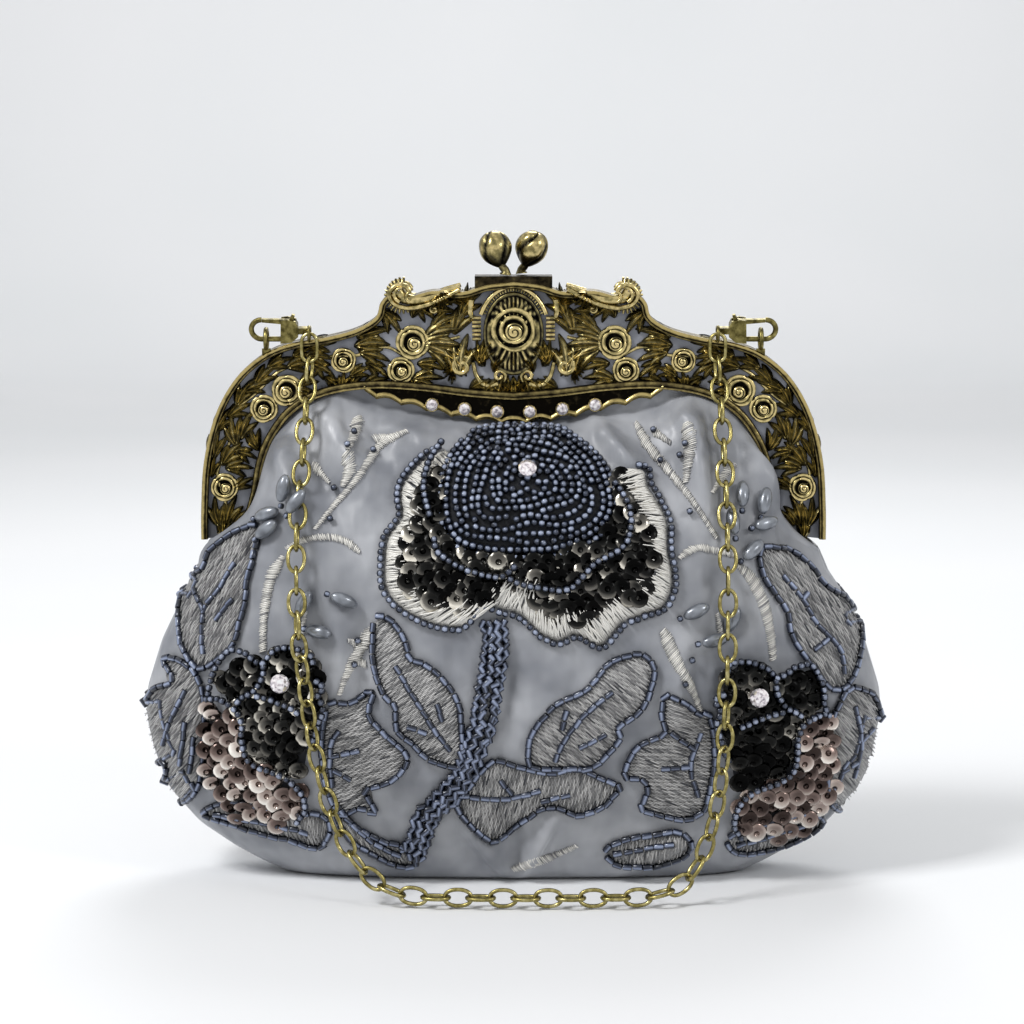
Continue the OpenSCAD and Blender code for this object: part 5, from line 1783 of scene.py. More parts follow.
@dataclass
class Embroidery:
    """Beads, sequins, stitches, pearls and stones sewn on one side of the satin."""

    looks: Palette
    ground: Ground
    setter: Setter
    seed_d: float = 2.2
    bugle_l: float = 2.9
    bugle_d: float = 2.05
    sequin_d: float = 6.2
    stitch_w: float = 0.46
    spots: dict = field(default_factory=dict)
    pads: dict = field(default_factory=dict)
    rng: random.Random = field(default_factory=lambda: random.Random(7))

    def add(self, part: Part, finish: str, spot: Spot, tone: float | None = None) -> None:
        """Notes one small shape for later, with its own tone."""
        shade = self.rng.random() if tone is None else tone
        self.spots.setdefault((part, finish), []).append(replace(spot, tone=min(1.0, max(0.0, shade))))

    def pad(self, outline: Outline, finish: str, height: Callable[[float, float], float] | float) -> None:
        """Lays padding inside an outline, as rings towards its middle.

        Args:
            outline: its edge in pixels.
            finish: what it is made of.
            height: how high it stands, everywhere or over each pixel.
        """
        shape = self.pads.setdefault(finish, Shape())
        middle = sum((Vector(p) for p in outline), Vector((0, 0))) / len(outline)
        rows = []
        for share in (1, 0.9, 0.76, 0.6, 0.42, 0.24, 0.06):
            row = []
            for p in outline:
                q = middle + (Vector(p) - middle) * share
                high = height(q.x, q.y) if callable(height) else height
                row.append(self.at(q.x, q.y, high if share < 1 else -0.2)[0])
            rows.append(row)
        shape.grid(rows, [[0.4] * len(outline)] * len(rows), wrap=True)

    def at(self, px: float, py: float, lift: float = 0.0) -> Seat:
        """A place lifted off the satin, and the way out of the cloth there."""
        hit, out = self.ground.under(px, py)
        return hit + out * lift, out

    def line(self, points: Outline, part: Part, lift: float = 0.9, pitch: float = 0.0, closed: bool = False,
             finish: str = "") -> None:
        """Sews beads end to end along a line of pixels.

        Args:
            points: pixels of the line.
            part: seed or bugle.
            lift: height over the satin.
            pitch: gap between middles; the bead's own when 0.
            closed: whether it runs back.
            finish: its finish; the bead's own when empty.
        """
        curve = spline(points, 7, closed)
        if closed:
            curve.append(curve[0].copy())
        route = [self.at(q.x, q.y, lift) for q in curve]
        step = pitch or (self.bugle_l + 0.2 if part is Part.BUGLE else self.seed_d * 0.95)
        even = resampled([r[0] for r in route], step / 2)
        near = 0
        for i in range(1, len(even) - 1, 2):
            gaps = [(place - even[i]).length for place, _ in route]
            while near < len(route) - 1 and gaps[near] > gaps[near + 1]:
                near += 1
            out = route[near][1]
            along = even[i + 1] - even[i - 1]
            wobble = Vector([self.rng.uniform(-0.09, 0.09) for _ in range(3)])
            along = along.normalized() + wobble
            if part is Part.BUGLE:
                size = Vector((self.bugle_l * self.rng.uniform(0.92, 1.06), self.bugle_d, self.bugle_d))
            else:
                d = self.seed_d * self.rng.uniform(0.92, 1.08)
                size = Vector((d * 0.95, d, d))
            self.add(part, finish or ("bugle" if part is Part.BUGLE else "seed"),
                     Spot(even[i] + wobble * 1.4, along, out, size))

    def stitches(self, motif: Motif) -> None:
        """Fills a leaf with padded rows of short satin stitches, all lying one way.

        Args:
            motif: the leaf.
        """
        outline = [(q.x, q.y) for q in spline(motif.outline, 3, True)]
        edge = [Vector(p) for p in outline]
        span = list(zip(edge, edge[1:] + edge[:1]))

        def height(x: float, y: float) -> float:
            """How high the padding stands: more in the middle, less at the edge.

            Args:
                x: pixel across.
                y: pixel down.

            Returns:
                Height of the padding there.
            """
            q = Vector((x, y))
            near = 1e9
            for a, b in span:
                w = b - a
                t = min(1.0, max(0.0, (q - a).dot(w) / max(1e-6, w.length_squared)))
                near = min(near, (q - a - w * t).length_squared)
            return 0.15 + motif.padding * min(1.0, sqrt(near) / 13) ** 0.6

        self.pad(outline, "grey_thread", height)
        reach = max((a - b).length for a in edge[::4] for b in edge[::4]) / 2
        middle = Vector(((min(q.x for q in edge) + max(q.x for q in edge)) / 2,
                         (min(q.y for q in edge) + max(q.y for q in edge)) / 2))
        lie = radians(motif.lie)
        way, across = Vector((cos(lie), -sin(lie))), Vector((sin(lie), cos(lie)))
        long, row, k = 11.0, 0, -reach
        while k < reach:
            s = -reach - long * ((row * 0.38) % 1.0)
            while s < reach:
                spot = middle + across * k + way * (s + self.rng.uniform(-1.2, 1.2))
                ends = [spot - way * long * 0.5, spot + way * long * 0.5]
                while ends and not all(inside(e.x, e.y, outline) for e in ends):
                    ends = [ends[0].lerp(ends[1], 0.14), ends[1].lerp(ends[0], 0.14)]
                    if (ends[0] - ends[1]).length < 3.5:
                        ends = []
                if ends:
                    a, out = self.at(*ends[0], height(*ends[0]) + 0.1)
                    b, _ = self.at(*ends[1], height(*ends[1]) + 0.1)
                    lift = out * self.rng.uniform(0.0, 0.16)
                    self.thread("grey_thread", (a, b), out, lift, (1.06, 1, 1), self.rng.gauss(0.55, 0.24))
                s += long
            k += 1.5
            row += 1

    def sprig(self, points: Outline, w0: float, w1: float) -> None:
        """A line of slanted satin stitch that narrows along its way.

        Args:
            points: pixels of the line.
            w0: width at its start.
            w1: width at its end.
        """
        curve = resampled(spline(points, 8), 1.85)
        for i in range(1, len(curve) - 1):
            t = i / (len(curve) - 1)
            ahead = (curve[i + 1] - curve[i - 1]).normalized()
            side = (Vector((-ahead.y, ahead.x)) + ahead * 0.4).normalized()
            half = 1.2 * blend(w0, w1, t) / 2 * min(1.0, 0.4 + 4 * t) * self.rng.uniform(0.8, 1.12)
            slip = ahead * self.rng.uniform(-0.4, 0.4)
            a, out = self.at(*(curve[i] - side * half + slip), 0.15)
            b, _ = self.at(*(curve[i] + side * half - slip), 0.15)
            lift = out * self.rng.uniform(0, 0.15)
            self.thread("silver_thread", (a, b), out, lift, (1, 1.1, 1.9), self.rng.gauss(0.66, 0.22))

    def sequins(self, outline: Outline, finish: str, pitch: float, lift: float = 0.7,
                hole: Outline = ()) -> None:
        """Fills an outline with overlapping cupped sequins, from the bottom row up.

        Args:
            outline: its edge in pixels.
            finish: which sequins.
            pitch: gap in pixels.
            lift: height over the satin.
            hole: an outline that stays free.
        """
        xs, ys = [p[0] for p in outline], [p[1] for p in outline]
        y, row = max(ys), 0
        while y > min(ys):
            x = min(xs) + (row % 2) * pitch / 2
            while x < max(xs):
                qx, qy = x + self.rng.uniform(-2.4, 2.4), y + self.rng.uniform(-2.0, 2.0)
                if inside(qx, qy, outline) and not (hole and inside(qx, qy, hole)):
                    spot, out = self.at(qx, qy, lift + self.rng.uniform(0.0, 0.9))
                    tilt = out + Vector((self.rng.gauss(0, 0.24), 0, self.rng.gauss(-0.12, 0.24)))
                    d = self.sequin_d * self.rng.uniform(0.9, 1.05)
                    # Each disc gets a random tone, which the foil finish also uses as a painted reflection.
                    self.add(Part.SEQUIN, finish, Spot(spot, Vector((1, 0.1, self.rng.uniform(-0.4, 0.4))),
                                                       tilt.normalized(), Vector((d, d, d))),
                             self.rng.random() ** (1.35 if finish == "dark_sequin" else 0.8))
                x += pitch
            y -= pitch * 0.72
            row += 1

    def dome_place(self, px: float, py: float, ring: float, drop: float = 0.0) -> Seat:
        """A place on the padded heart of the rose.

        Args:
            px: pixel across.
            py: pixel down.
            ring: 0 at the eye, 1 at the edge.
            drop: how far below the top.

        Returns:
            The place and the way out of the cloth.
        """
        tier = 0.9 * abs(sin(pi * (2.6 * ring + 0.25)))
        lift = 1.0 + 5.0 * max(0.0, 1 - ring ** 2.2) + tier
        return self.at(px, py, lift - drop)

    def fits(self, here: Vector, laid: dict[tuple, list[Vector]], gap: float) -> bool:
        """Whether a bead has room among those already laid; if so, it is noted as laid.

        Args:
            here: the bead's place.
            laid: places of the others, by cells of 2.5 mm.
            gap: the least distance between two middles.

        Returns:
            True when nothing lies nearer than the gap.
        """
        cell = tuple(round(c / 2.5) for c in here)
        for step in product((-1, 0, 1), repeat=3):
            for other in laid.get(tuple(c + d for c, d in zip(cell, step)), []):
                if (other - here).length < gap:
                    return False
        laid.setdefault(cell, []).append(here)
        return True

    def thread(self, finish: str, ends: Seat, out: Vector, lift: Vector, shares: Sequence[float],
               tone: float) -> None:
        """Notes one stitch.

        Args:
            finish: which thread.
            ends: where it dives into the cloth.
            out: the way out of the cloth.
            lift: how far it is moved off the line between its ends.
            shares: its length, width and height, as shares of the ends' distance and of a stitch's width.
            tone: how light it is, from 0 to 1.
        """
        a, b = ends
        size = Vector(((b - a).length * shares[0], self.stitch_w * shares[1], self.stitch_w * shares[2]))
        self.add(Part.STITCH, finish, Spot((a + b) / 2 + lift, b - a, out, size), tone)

    def rose(self) -> None:
        """The middle rose: stitched border, sequined petals and a beaded heart."""
        edge = spline(ROSE_EDGE, 4)
        middle = Vector((528, 540))
        inner = [tuple(q + (middle - q).normalized() * (25 if q.y > 585 else 19)) for q in edge]
        dome = [(q.x, q.y) for q in spline(ROSE_DOME, 4, True)]
        eye = Vector(DOME_EYE)

        def bed(x: float, y: float) -> float:
            """Height of the padding over a pixel."""
            far = (Vector((x, y)) - middle).length
            return 0.35 + 1.2 * max(0.0, 1 - far / 150)

        self.pad(inner, "felt", bed)
        self.line(ROSE_EDGE, Part.SEED, 1.1)
        for q in resampled(edge, 1.1):
            pull = (middle - q).normalized()
            swirl = Vector((-pull.y, pull.x)) * self.rng.gauss(0.12, 0.12)
            far = q + (pull + swirl) * self.rng.uniform(19, 36) * (1.12 if q.y > 585 else 0.85)
            near = q + pull * 4.5
            a, out = self.at(near.x, near.y, 0.35)
            b, _ = self.at(far.x, far.y, bed(far.x, far.y) + self.rng.uniform(0.5, 1.9))
            still = Vector((0, 0, 0))
            self.thread("silver_thread", (a, b), out, still, (1.05, 1.15, 1.7), self.rng.gauss(0.9, 0.16))
        self.sequins(inner, "dark_sequin", 13.0, 1.2, dome)
        for points in PETAL_EDGES:
            self.line(points, Part.SEED, 4.0)

        def mound(x: float, y: float, drop: float) -> Seat:
            """A place on the rose's padded heart, over a pixel.

            Args:
                x: pixel across.
                y: pixel down.
                drop: how far below the top.

            Returns:
                The place and the way out of the cloth.
            """
            q = Vector((x, y)) - eye
            w = atan2(q.y, q.x)
            gaps = [abs(remainder(atan2(p[1] - eye.y, p[0] - eye.x) - w, 2 * pi)) for p in dome]
            rim = dome[gaps.index(min(gaps))]
            return self.dome_place(x, y, min(1.0, q.length / (Vector(rim) - eye).length), drop)

        shape = self.pads["felt"]
        rows = []
        for share in (1.0, 0.93, 0.85, 0.75, 0.62, 0.48, 0.32, 0.16, 0.04):
            drop = 0.85 if share < 1 else 2.4
            rows.append([mound(*(eye + (Vector(p) - eye) * share), drop)[0] for p in dome])
        shape.grid(rows, [[0.4] * len(dome)] * len(rows), wrap=True)
        laid: dict[tuple, list[Vector]] = {}
        for k in range(14):
            points = []
            for p in dome:
                q = Vector(p) - eye
                w = atan2(q.y, q.x)
                inward = 6.7 * k + (2.6 * sin(3 * w + 0.8 * k) + 1.6 * sin(5 * w - 1.3 * k) if k > 1 else 0.0)
                if q.length - inward > 6:
                    q = eye + q * ((q.length - inward) / q.length)
                    points.append(mound(q.x, q.y, 0.0))
            if len(points) < 4:
                continue
            even = resampled([q[0] for q in points], self.seed_d * 0.5)
            for i in range(1, len(even) - 1, 2):
                here = even[i]
                if not self.fits(here, laid, 0.84 * self.seed_d):
                    continue
                gaps = [(q[0] - here).length_squared for q in points]
                out = points[gaps.index(min(gaps))][1]
                wobble = Vector([self.rng.uniform(-0.25, 0.25) for _ in range(3)])
                along = (even[i + 1] - even[i - 1]).normalized() + wobble
                d = self.seed_d * self.rng.uniform(0.94, 1.08)
                self.add(Part.SEED, "seed", Spot(here, along, out, Vector((d * 0.95, d, d))))
        for _ in range(5200):
            px, py = self.rng.uniform(438, 620), self.rng.uniform(427, 560)
            if not inside(px, py, dome):
                continue
            here, out = mound(px, py, 0.0)
            if not self.fits(here, laid, 0.86 * self.seed_d):
                continue
            d = self.seed_d * self.rng.uniform(0.92, 1.02)
            along = Vector([self.rng.uniform(-1, 1) for _ in range(3)])
            self.add(Part.SEED, "seed", Spot(here, along, out, Vector((d * 0.95, d, d))))
        spot, out = self.dome_place(*DOME_EYE, 0.0)
        self.stone(spot + out * 1.2, out, 5.4)

    def stone(self, spot: Vector, out: Vector, wide: float) -> None:
        """Notes one rhinestone."""
        self.add(Part.STONE, "crystal", Spot(spot, Vector((1, 0, 0)), out, Vector((wide, wide, wide))))

    def stem(self) -> None:
        """The braided stem: bugles packed across it in four columns, the middle ones raised higher, turned
        this way and that.
        """
        curve = resampled(spline(STEM, 8), 5.4)
        for i in range(1, len(curve) - 1):
            ahead = (curve[i + 1] - curve[i - 1]).normalized()
            side = Vector((-ahead.y, ahead.x))
            for column, lift in ((-9.5, 1.0), (-3.4, 2.5), (3.4, 2.4), (9.5, 1.0)):
                slant = 0.75 if (i + round(column)) % 2 else -0.75
                q = curve[i] + side * (column + self.rng.uniform(-1.2, 1.2))
                q = q + ahead * self.rng.uniform(-1.5, 1.5)
                way = (ahead + side * (slant + self.rng.uniform(-0.3, 0.3))).normalized()
                a, out = self.at(*(q - way * 3), lift)
                b, _ = self.at(*(q + way * 3), lift + self.rng.uniform(-0.3, 0.5))
                self.add(Part.BUGLE, "bugle", Spot((a + b) / 2, b - a, out, Vector(
                    (self.bugle_l * self.rng.uniform(0.7, 1.0), self.bugle_d, self.bugle_d))))

    def side_flowers(self) -> None:
        """The two sequined flowers at the sides, each with a stone."""
        for mirrored in (False, True):
            for outline, finish, pitch, lift in ((PALE_SEQUINS, "rose_sequin", 15.0, 1.1),
                                                 (DARK_SEQUINS, "dark_sequin", 14.0, 1.5)):
                spots = flower_place(outline, mirrored)
                self.pad(spots, "felt", lift * 0.6)
                self.sequins(spots, finish, pitch, lift)
            for points in FLOWER_LINES:
                self.line(flower_place(points, mirrored), Part.SEED, 3.9)
            spot, out = self.at(*flower_place([SIDE_GEM], mirrored)[0], 3.4)
            self.stone(spot, out, 5.7)

    def pearls(self) -> None:
        """Rice pearls, each sewn down at one end through a seed bead."""
        for px, py, turn in PEARLS:
            w = radians(turn)
            spot, out = self.at(px, py, 2.3)
            way = Vector((cos(w), 0, sin(w)))
            way = (way - out * way.dot(out)).normalized()
            self.add(Part.PEARL, "pearl", Spot(spot, way, out, Vector((8.4, 4.0, 4.0))))
            self.add(Part.SEED, "seed", Spot(spot - way * 5.2 - out * 0.8, way, out, Vector((2, 2, 2))))

    def draw(self) -> None:
        """Plans the whole embroidery."""
        for points, w0, w1 in SPRIGS:
            self.sprig(points, w0, w1)
        for group in SPRIG_BEADS:
            for px, py in group:
                spot, out = self.at(px, py, 1.4)
                self.add(Part.SEED, "seed", Spot(spot, Vector((1, 0, 0.4)), out, Vector((2.1, 2.1, 2.1))))
        for motif in LEAVES:
            self.stitches(motif)
            self.line(motif.outline, Part.BUGLE, 1.0, closed=True)
            for vein in motif.veins:
                self.line(vein, Part.BUGLE, 1.3)
        self.rose()
        self.stem()
        self.side_flowers()
        self.pearls()

    def sew(self, cloth: BagCloth) -> None:
        """Makes every piece for both sides and sets it in place across the hinge with the cloth.

        Args:
            cloth: the satin that carries the embroidery.
        """
        front_nodes = {"seed": ("centre_rose", "front_leaf_pads"), "bugle": ("rose_stem",),
                       "rose_sequin": ("side_flower_pads",), "pearl": ("lower_pearls", "upper_pearls"),
                       "crystal": ("side_gems", "rose_gem")}
        rear_nodes = {"seed": ("rear_rose", "rear_leaf_pads")}
        for (part, finish), spots in self.spots.items():
            base = f"{finish}_{part.value}s"
            obj = self.setter.set_down(f"front_{base}_piece", part, spots, getattr(self.looks, finish))
            other = mirrored_copy(obj, f"rear_{base}_piece")
            cloth.hang(obj, front_nodes.get(finish, ()))
            cloth.hang(other, rear_nodes.get(finish, ()))
        for finish, shape in self.pads.items():
            obj = shape.build(f"front_{finish}_padding_piece", getattr(self.looks, finish), 180)
            store(obj.data, "tone", [0.35] * len(obj.data.vertices))
            cloth.hang(obj)
            cloth.hang(mirrored_copy(obj, f"rear_{finish}_padding_piece"))


# Metalwork on the frame: lock, strap and gallery


@dataclass
class KissLock:
    """The two rosebuds that snap past each other, each on a bent stem."""

    looks: Palette
    bud_d: float = 9.8
    bud_top: tuple = (-5.35, -1.4, 187.9)
    foot: tuple = (-2.4, -3.05, 180.4)

    def bud(self, hand: int) -> Shape:
        """One bud: five soft petals closing round a dimple, on its stem.

        Args:
            hand: -1 turns it for the rear.

        Returns:
            Its mesh.
        """
        shape = Shape()
        turn = Matrix.Rotation(0 if hand > 0 else pi, 3, "Z")
        top, foot = Vector(self.bud_top), Vector(self.foot)
        axis = (top - foot).normalized()
        side = axis.cross(Vector((0, 1, 0))).normalized()
        deep = side.cross(axis)
        rows, tones = [], []
        rings, sides = 22, 48
        for i in range(rings + 1):
            v = pi * (0.02 + 0.96 * i / rings)
            row, tone = [], []
            for k in range(sides):
                w = 2 * pi * k / sides
                open_ = smooth((v - 1.2) / 1.5)
                fold = abs(sin(2 * w + 1.1 * v))
                crease = (1 - fold) ** 4 * (1 - 0.4 * smooth((1.0 - v) / 0.8))
                r = self.bud_d / 2 * (1 - 0.24 * crease * (0.5 + 0.5 * open_))
                lift = -cos(v)
                flare = 1 + 0.03 * cos(3 * w + 1.8 * v)
                wide = r * sin(v) ** (0.8 if v > 1.57 else 1.35) * flare
                p = axis * (r * (lift * 1.02 - 0.2 * smooth((1.1 - v) / 1.1) + 0.1 * open_))
                p += (side * cos(w) + deep * sin(w)) * wide
                row.append(turn @ (top + p))
                tone.append(max(0.0, 0.8 - 0.95 * crease - 0.4 * smooth((1.5 - v) / 1.0)))
            rows.append(row)
            tones.append(tone)
        shape.grid(rows, tones, wrap=True, ends=True)
        stem = [foot + Vector((0, 0, h)) for h in (0.1, 1.2)] + [foot.lerp(top, t) for t in (0.35, 0.62)]
        route = [turn @ q for q in spline(stem, 6)]
        radii = [(0, 1.75), (0.14, 1.7), (0.26, 1.3), (0.75, 1.15), (0.9, 1.7), (1, 2.3)]
        wide = [table(i / (len(route) - 1), radii) for i in range(len(route))]
        shape.tube(route, wide, 20, relief_and_painted_light=0.55)
        return shape

    def build(self) -> None:
        """Makes both buds."""
        for side, hand in ((Side.FRONT, 1), (Side.REAR, -1)):
            obj = self.bud(hand).build(f"{side.value}_rosebud_piece", self.looks.cast_brass, 60)
            ride(obj, f"{side.value}_lock", (f"{side.value}_bud",))


@dataclass
class Gallery:
    """The scalloped plate under the front rail and its six stones."""

    looks: Palette
    setter: Setter
    back: float = 4.75
    thick: float = 1.0
    half: float = 44.5
    drop: float = 6.2
    scallops: int = 12
    gem_d: float = 3.4
    gem_pitch: float = 9.7

    def rail_z(self, x: float, frame_half: FrameHalf) -> float:
        """Height of the rail's opening edge at a place across it."""
        line = frame_half.line(frame_half.inner_half)
        return table(x, [(q.x, q.y) for q in line])

    def build(self, frame_half: FrameHalf) -> None:
        """Makes the plate with a rolled edge, the cups and the stones.

        Args:
            frame_half: the half whose rail carries it.
        """
        shape = Shape()
        rows, tones = [], []
        steps = 288
        for i in range(steps + 1):
            x = blend(-self.half, self.half, i / steps)
            top = self.rail_z(x, frame_half) - 0.05
            reach = self.drop * max(0.0, cos(pi / 2 * x / self.half)) ** 0.6
            scallop = 1.2 * abs(cos(pi / 2 * x / self.half * self.scallops))
            low = top - 1.25 - reach + scallop
            front, back = -self.back - self.thick, -self.back
            rows.append([(x, back, top), (x, front, top), (x, front, low + 1.9), (x, front - 0.4, low + 1.5),
                         (x, front - 0.6, low + 0.8), (x, front - 0.1, low), (x, back, low)][::-1])
            tones.append([0.0, 0.05, 0.0, 0.85, 1.05, 0.6, 0.1][::-1])
        shape.grid(rows, tones, wrap=True, ends=True)
        ride(shape.build("scalloped_gallery_piece", self.looks.rim_brass, 40), "front_frame",
             ("front_apron",))
        cups, spots = Shape(), []
        for k in range(6):
            x = (k - 2.5) * self.gem_pitch
            z = self.rail_z(x, frame_half) - 3.7
            base = -self.back - self.thick
            r = self.gem_d / 2 + 0.4
            profile = [(r, 0.0), (r, 0.55), (r - 0.12, 0.78), (r - 0.42, 0.72), (r - 0.5, 0.3), (0.1, 0.3)]
            rings = [[(x + a * cos(2 * pi * j / 28), base - h, z + a * sin(2 * pi * j / 28))
                      for j in range(28)][::-1] for a, h in profile]
            cups.grid(rings, [[shade] * 28 for shade in (0.5, 0.8, 1.0, 0.7, 0.1, 0.0)], wrap=True)
            for j in range(6):
                w = 2 * pi * (j + 0.5) / 6
                foot = Vector((x + (r - 0.25) * cos(w), base - 0.5, z + (r - 0.25) * sin(w)))
                tip = Vector((x + (r - 0.75) * cos(w), base - 1.35, z + (r - 0.75) * sin(w)))
                bend = foot.lerp(tip, 0.5) + Vector((0, -0.15, 0))
                cups.tube([foot, bend, tip], [0.26, 0.24, 0.16], 6, relief_and_painted_light=0.9)
            spots.append(Spot(Vector((x, base - 0.75, z)), Vector((1, 0, 0)), Vector((0, -1, 0)),
                              Vector((self.gem_d, self.gem_d, self.gem_d))))
        obj = cups.build("stone_cups_piece", self.looks.cast_brass, 40)
        ride(obj, "front_frame", ("apron_cups",))
        gems = self.setter.set_down("gallery_stones_piece", Part.STONE, spots, self.looks.crystal)
        ride(gems, "front_frame", ("apron_gems",))


@dataclass
class Strap:
    """The chain: links along the route that the construction holds, and a ring at each end."""

    looks: Palette
    setter: Setter
    link_l: float = 9.1
    pitch: float = 6.6
    swing: tuple = (60.5, -8.60086, 163.193)
    ring_l: float = 9.3
    ring_w: float = 5.7
    ring_d: float = 1.1
    link_d: float = 1.2
    route: tuple = (
        (-61, -10.6, 148), (-61.4, -14.8, 139), (-62, -20.5, 127), (-63, -26.5, 113), (-63.3, -32, 100),
        (-63, -36, 88), (-62.4, -38.5, 76), (-60.6, -40.5, 63.5), (-58.8, -42, 51), (-56, -43.5, 38),
        (-52, -45, 25), (-46, -47, 13.5), (-38, -49, 6), (-29, -50.5, 3.4), (-16, -51.5, 3.1), (0, -52, 3.1),
        (16, -52, 3.1), (30, -51.5, 3.1), (40, -50.5, 3.4), (48.4, -49, 6.4), (54.4, -47, 14),
        (58.6, -45, 27), (60.7, -43.4, 41), (61.6, -41.8, 54), (62, -40, 66), (62.2, -37.6, 79),
        (62.4, -34.4, 92), (62.4, -30, 105), (62.2, -24.5, 118), (61.8, -18.6, 131), (61.2, -13, 143),
        (60.8, -10, 149),
    )

    def links(self) -> list[Spot]:
        """Every link's place, alternate links turned by a right angle."""
        drop = (self.ring_l - self.ring_d) / 2 + (self.ring_l / 2 - self.ring_d)
        drop = drop + (self.link_l / 2 - self.link_d) - 0.5
        x, y, z = self.swing
        line = spline([(-x, y, z - drop), *self.route, (x, y, z - drop)], 6)
        total = sum((b - a).length for a, b in zip(line, line[1:]))
        gaps = ceil(total / self.pitch)
        fine = resampled(line, total / gaps / 4)
        out = []
        for i in range(gaps + 1):
            k = i * 4
            here = fine[min(k, len(fine) - 1)]
            along = (fine[min(k + 2, len(fine) - 1)] - fine[max(k - 2, 0)]).normalized()
            level = along.cross(Vector((0, 0, 1)))
            level = level.normalized() if level.length > 1e-3 else Vector((0, -1, 0))
            up = level.cross(along)
            out.append(Spot(here, along, level if i % 2 == 0 else up, Vector((1, 1, 1))))
        return out

    def build(self) -> None:
        """Makes the links and the two rings."""
        spots = self.links()
        log.info("strap has %d links", len(spots))
        obj = self.setter.set_down("strap_links_piece", Part.LINK, spots, self.looks.chain_brass)
        ride(obj, "chain", ("left_strand", "right_strand", "bottom_run"))
        shape = Shape()
        x, y, z = self.swing
        for hand in (-1, 1):
            middle = Vector((hand * x, y, z - (self.ring_l - self.ring_d) / 2))
            loop = []
            for k in range(40):
                w = 2 * pi * k / 40
                straight = (self.ring_l - self.ring_w) / 2
                c, s = cos(w), sin(w)
                r = (self.ring_w - self.ring_d) / 2
                loop.append(middle + Vector((r * c, 0, r * s + copysign(straight, s) * min(1.0, abs(s) * 4))))
            shape.tube(loop, self.ring_d / 2, 12, closed=True, relief_and_painted_light=0.8)
        rings = shape.build("jump_rings_piece", self.looks.chain_brass, 180)
        ride(rings, "chain", ("jump_rings",))


# Construction parts that show as they are


DRESSED = {
    "front_hinge_lugs": "rim_brass", "rear_hinge_lugs": "rim_brass", "front_lock_seat": "rim_brass",
    "rear_lock_seat": "rim_brass", "hinge_pins": "rim_brass", "strap_ears": "chain_brass",
    "left_clasp": "chain_brass", "right_clasp": "chain_brass", "clasp_pins": "chain_brass",
    "left_clasp_lever": "chain_brass", "right_clasp_lever": "chain_brass", "base_board": "board",
    "slip_pocket": "lining",
}


def dress(frame: dict, looks: Palette) -> None:
    """Gives the construction parts that stay visible their finishes.

    Args:
        frame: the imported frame.
        looks: the finishes.
    """
    for name, finish in DRESSED.items():
        node = frame["nodes"][name]
        for obj in [node, *node.children_recursive]:
            if obj.type == "MESH":
                for slot in obj.material_slots:
                    slot.material = getattr(looks, finish)
                mesh = obj.data
                mesh.shade_smooth()
                if "relief_and_painted_light" not in mesh.attributes:
                    store(mesh, "relief_and_painted_light", [0.3 if "seat" in name else 0.55] * len(mesh.vertices))
                log.info("%s keeps its shape and takes %s", name, finish)


# Studio


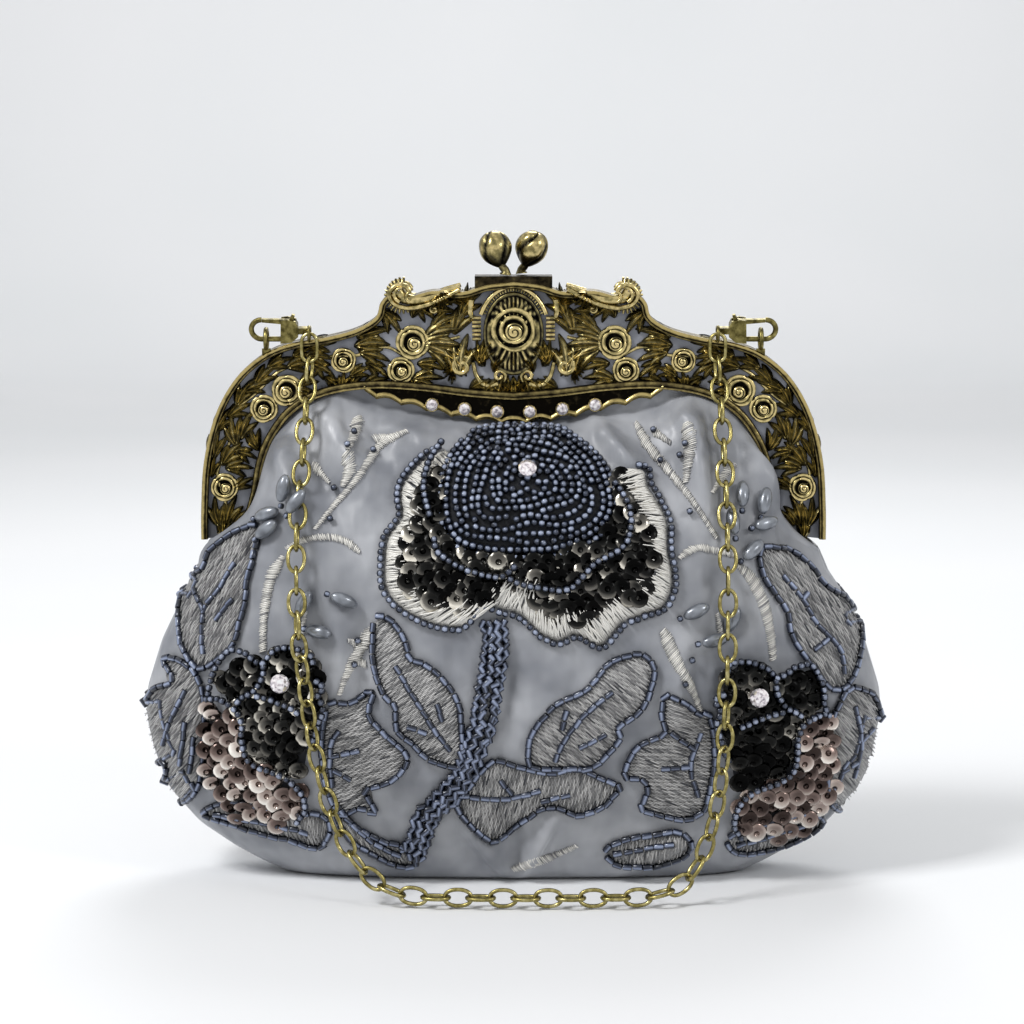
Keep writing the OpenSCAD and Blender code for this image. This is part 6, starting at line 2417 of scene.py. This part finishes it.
@dataclass
class Studio:
    """A pale floor that curves up behind, soft lights and the photograph's camera."""

    view: View
    floor_y: tuple = (-2.6, 2.5)
    half_width: float = 2.8

    def material(self) -> Material:
        """Matt white paper: a plain diffuse sheet."""
        f = Finish("studio_paper", Roughness=0.9, Specular_IOR_Level=0.1)
        f.colour(f.ramp(f.noise(300.0, 1.0), [(0.3, "#eceef0"), (0.7, "#f0f1f3")]))
        return f.material

    def floor(self) -> None:
        """Lays the floor and its curved back."""
        shape = Shape()
        rows = []
        near, far = self.floor_y[0] / MM, self.floor_y[1] / MM
        line = [(near, -0.3), (far - 600, -0.3)]
        line += [(far - 600 + 600 * sin(pi / 2 * k / 16), -0.3 + 600 * (1 - cos(pi / 2 * k / 16)))
                 for k in range(1, 17)]
        line.append((far, 2400))
        wide = self.half_width / MM
        for y, z in line:
            rows.append([(-wide, y, z), (wide, y, z)])
        shape.grid(rows)
        shape.build("studio_floor", self.material(), 180)

    def lamp(self, name: str, place: tuple, size: float, power: float, target: tuple = (0, 0, 0.09),
             spread: float = 180) -> None:
        """Hangs one soft square lamp that faces its target.

        Args:
            name: the lamp's name.
            place: where it hangs, in metres.
            size: its width in metres.
            power: watts.
            target: what it faces.
            spread: its cone in degrees.
        """
        data = bpy.data.lights.new(name, "AREA")
        data.shape, data.size, data.energy = "SQUARE", size, power
        data.spread = radians(spread)
        lamp = linked(name, data)
        lamp.location = place
        lamp.rotation_euler = (Vector(target) - Vector(place)).to_track_quat("-Z", "Y").to_euler()

    def world(self) -> None:
        """Even grey light all round; the camera and reflections see the white room."""
        world = bpy.data.worlds.new("studio")
        bpy.context.scene.world = world
        world.use_nodes = True
        tree = world.node_tree
        tree.nodes.clear()
        path = add_node(tree, "ShaderNodeLightPath")
        seen = path.outputs["Is Camera Ray"]
        larger = {"operation": "MAXIMUM"}
        for ray in ("Is Glossy Ray", "Is Transmission Ray"):
            seen = add_node(tree, "ShaderNodeMath", larger, {0: seen, 1: path.outputs[ray]}).outputs[0]
        glow = add_node(tree, "ShaderNodeMapRange", inputs={0: seen, 3: 0.42, 4: 1.0})
        back = add_node(tree, "ShaderNodeBackground",
                        inputs={"Color": srgb("#ffffff"), "Strength": glow.outputs[0]})
        add_node(tree, "ShaderNodeOutputWorld", inputs={0: back.outputs[0]})

    def camera(self) -> None:
        """Places the camera at the photograph's angle."""
        data = bpy.data.cameras.new("camera")
        data.lens, data.sensor_width, data.sensor_fit = self.view.lens, self.view.sensor, "HORIZONTAL"
        data.clip_start = 0.05
        camera = linked("camera", data)
        camera.location = self.view.eye() * MM
        camera.rotation_euler = (radians(90 - self.view.elevation), 0, 0)
        bpy.context.scene.camera = camera

    def build(self) -> None:
        """Sets the whole studio."""
        self.floor()
        self.world()
        self.camera()
        self.lamp("key_lamp", (-0.75, -0.62, 1.1), 0.36, 12.5)
        self.lamp("fill_lamp", (0.95, -0.75, 0.75), 0.3, 3.4)
        self.lamp("rim_lamp", (0.1, 0.8, 0.9), 0.5, 5.0)
        self.lamp("backdrop_lamp", (0, 1.2, 2.4), 1.4, 7.5, (0, 2.6, 0.6), 90)
        scene = bpy.context.scene
        scene.view_settings.view_transform = "Standard"


def main() -> None:
    """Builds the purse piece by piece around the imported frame."""
    logging.basicConfig(level=logging.INFO, format="%(name)s: %(message)s")
    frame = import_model()
    view = View()
    Studio(view).build()
    looks = Palette()
    setter = Setter()
    dress(frame, looks)
    front = FrameHalf(Side.FRONT, looks)
    front.build()
    FrameHalf(Side.REAR, looks).build()
    cloth = BagCloth(looks)
    satin = cloth.sheet(Side.FRONT)
    rear_satin = mirrored_copy(satin, "rear_satin_piece")
    ground = Ground(satin, view)
    cloth.hang(satin, ("satin_bag", "front_panel"))
    cloth.hang(rear_satin, ("rear_panel",))
    cloth.hang(cloth.lining(Side.FRONT), ("bag_lining", "front_panel_lining"))
    cloth.hang(cloth.lining(Side.REAR), ("rear_panel_lining",))
    embroidery = Embroidery(looks, ground, setter)
    embroidery.draw()
    embroidery.sew(cloth)
    KissLock(looks).build()
    Gallery(looks, setter).build(front)
    Strap(looks, setter).build()
    setter.clear()
    log.info("the purse is complete")


if __name__ == "__main__":
    main()
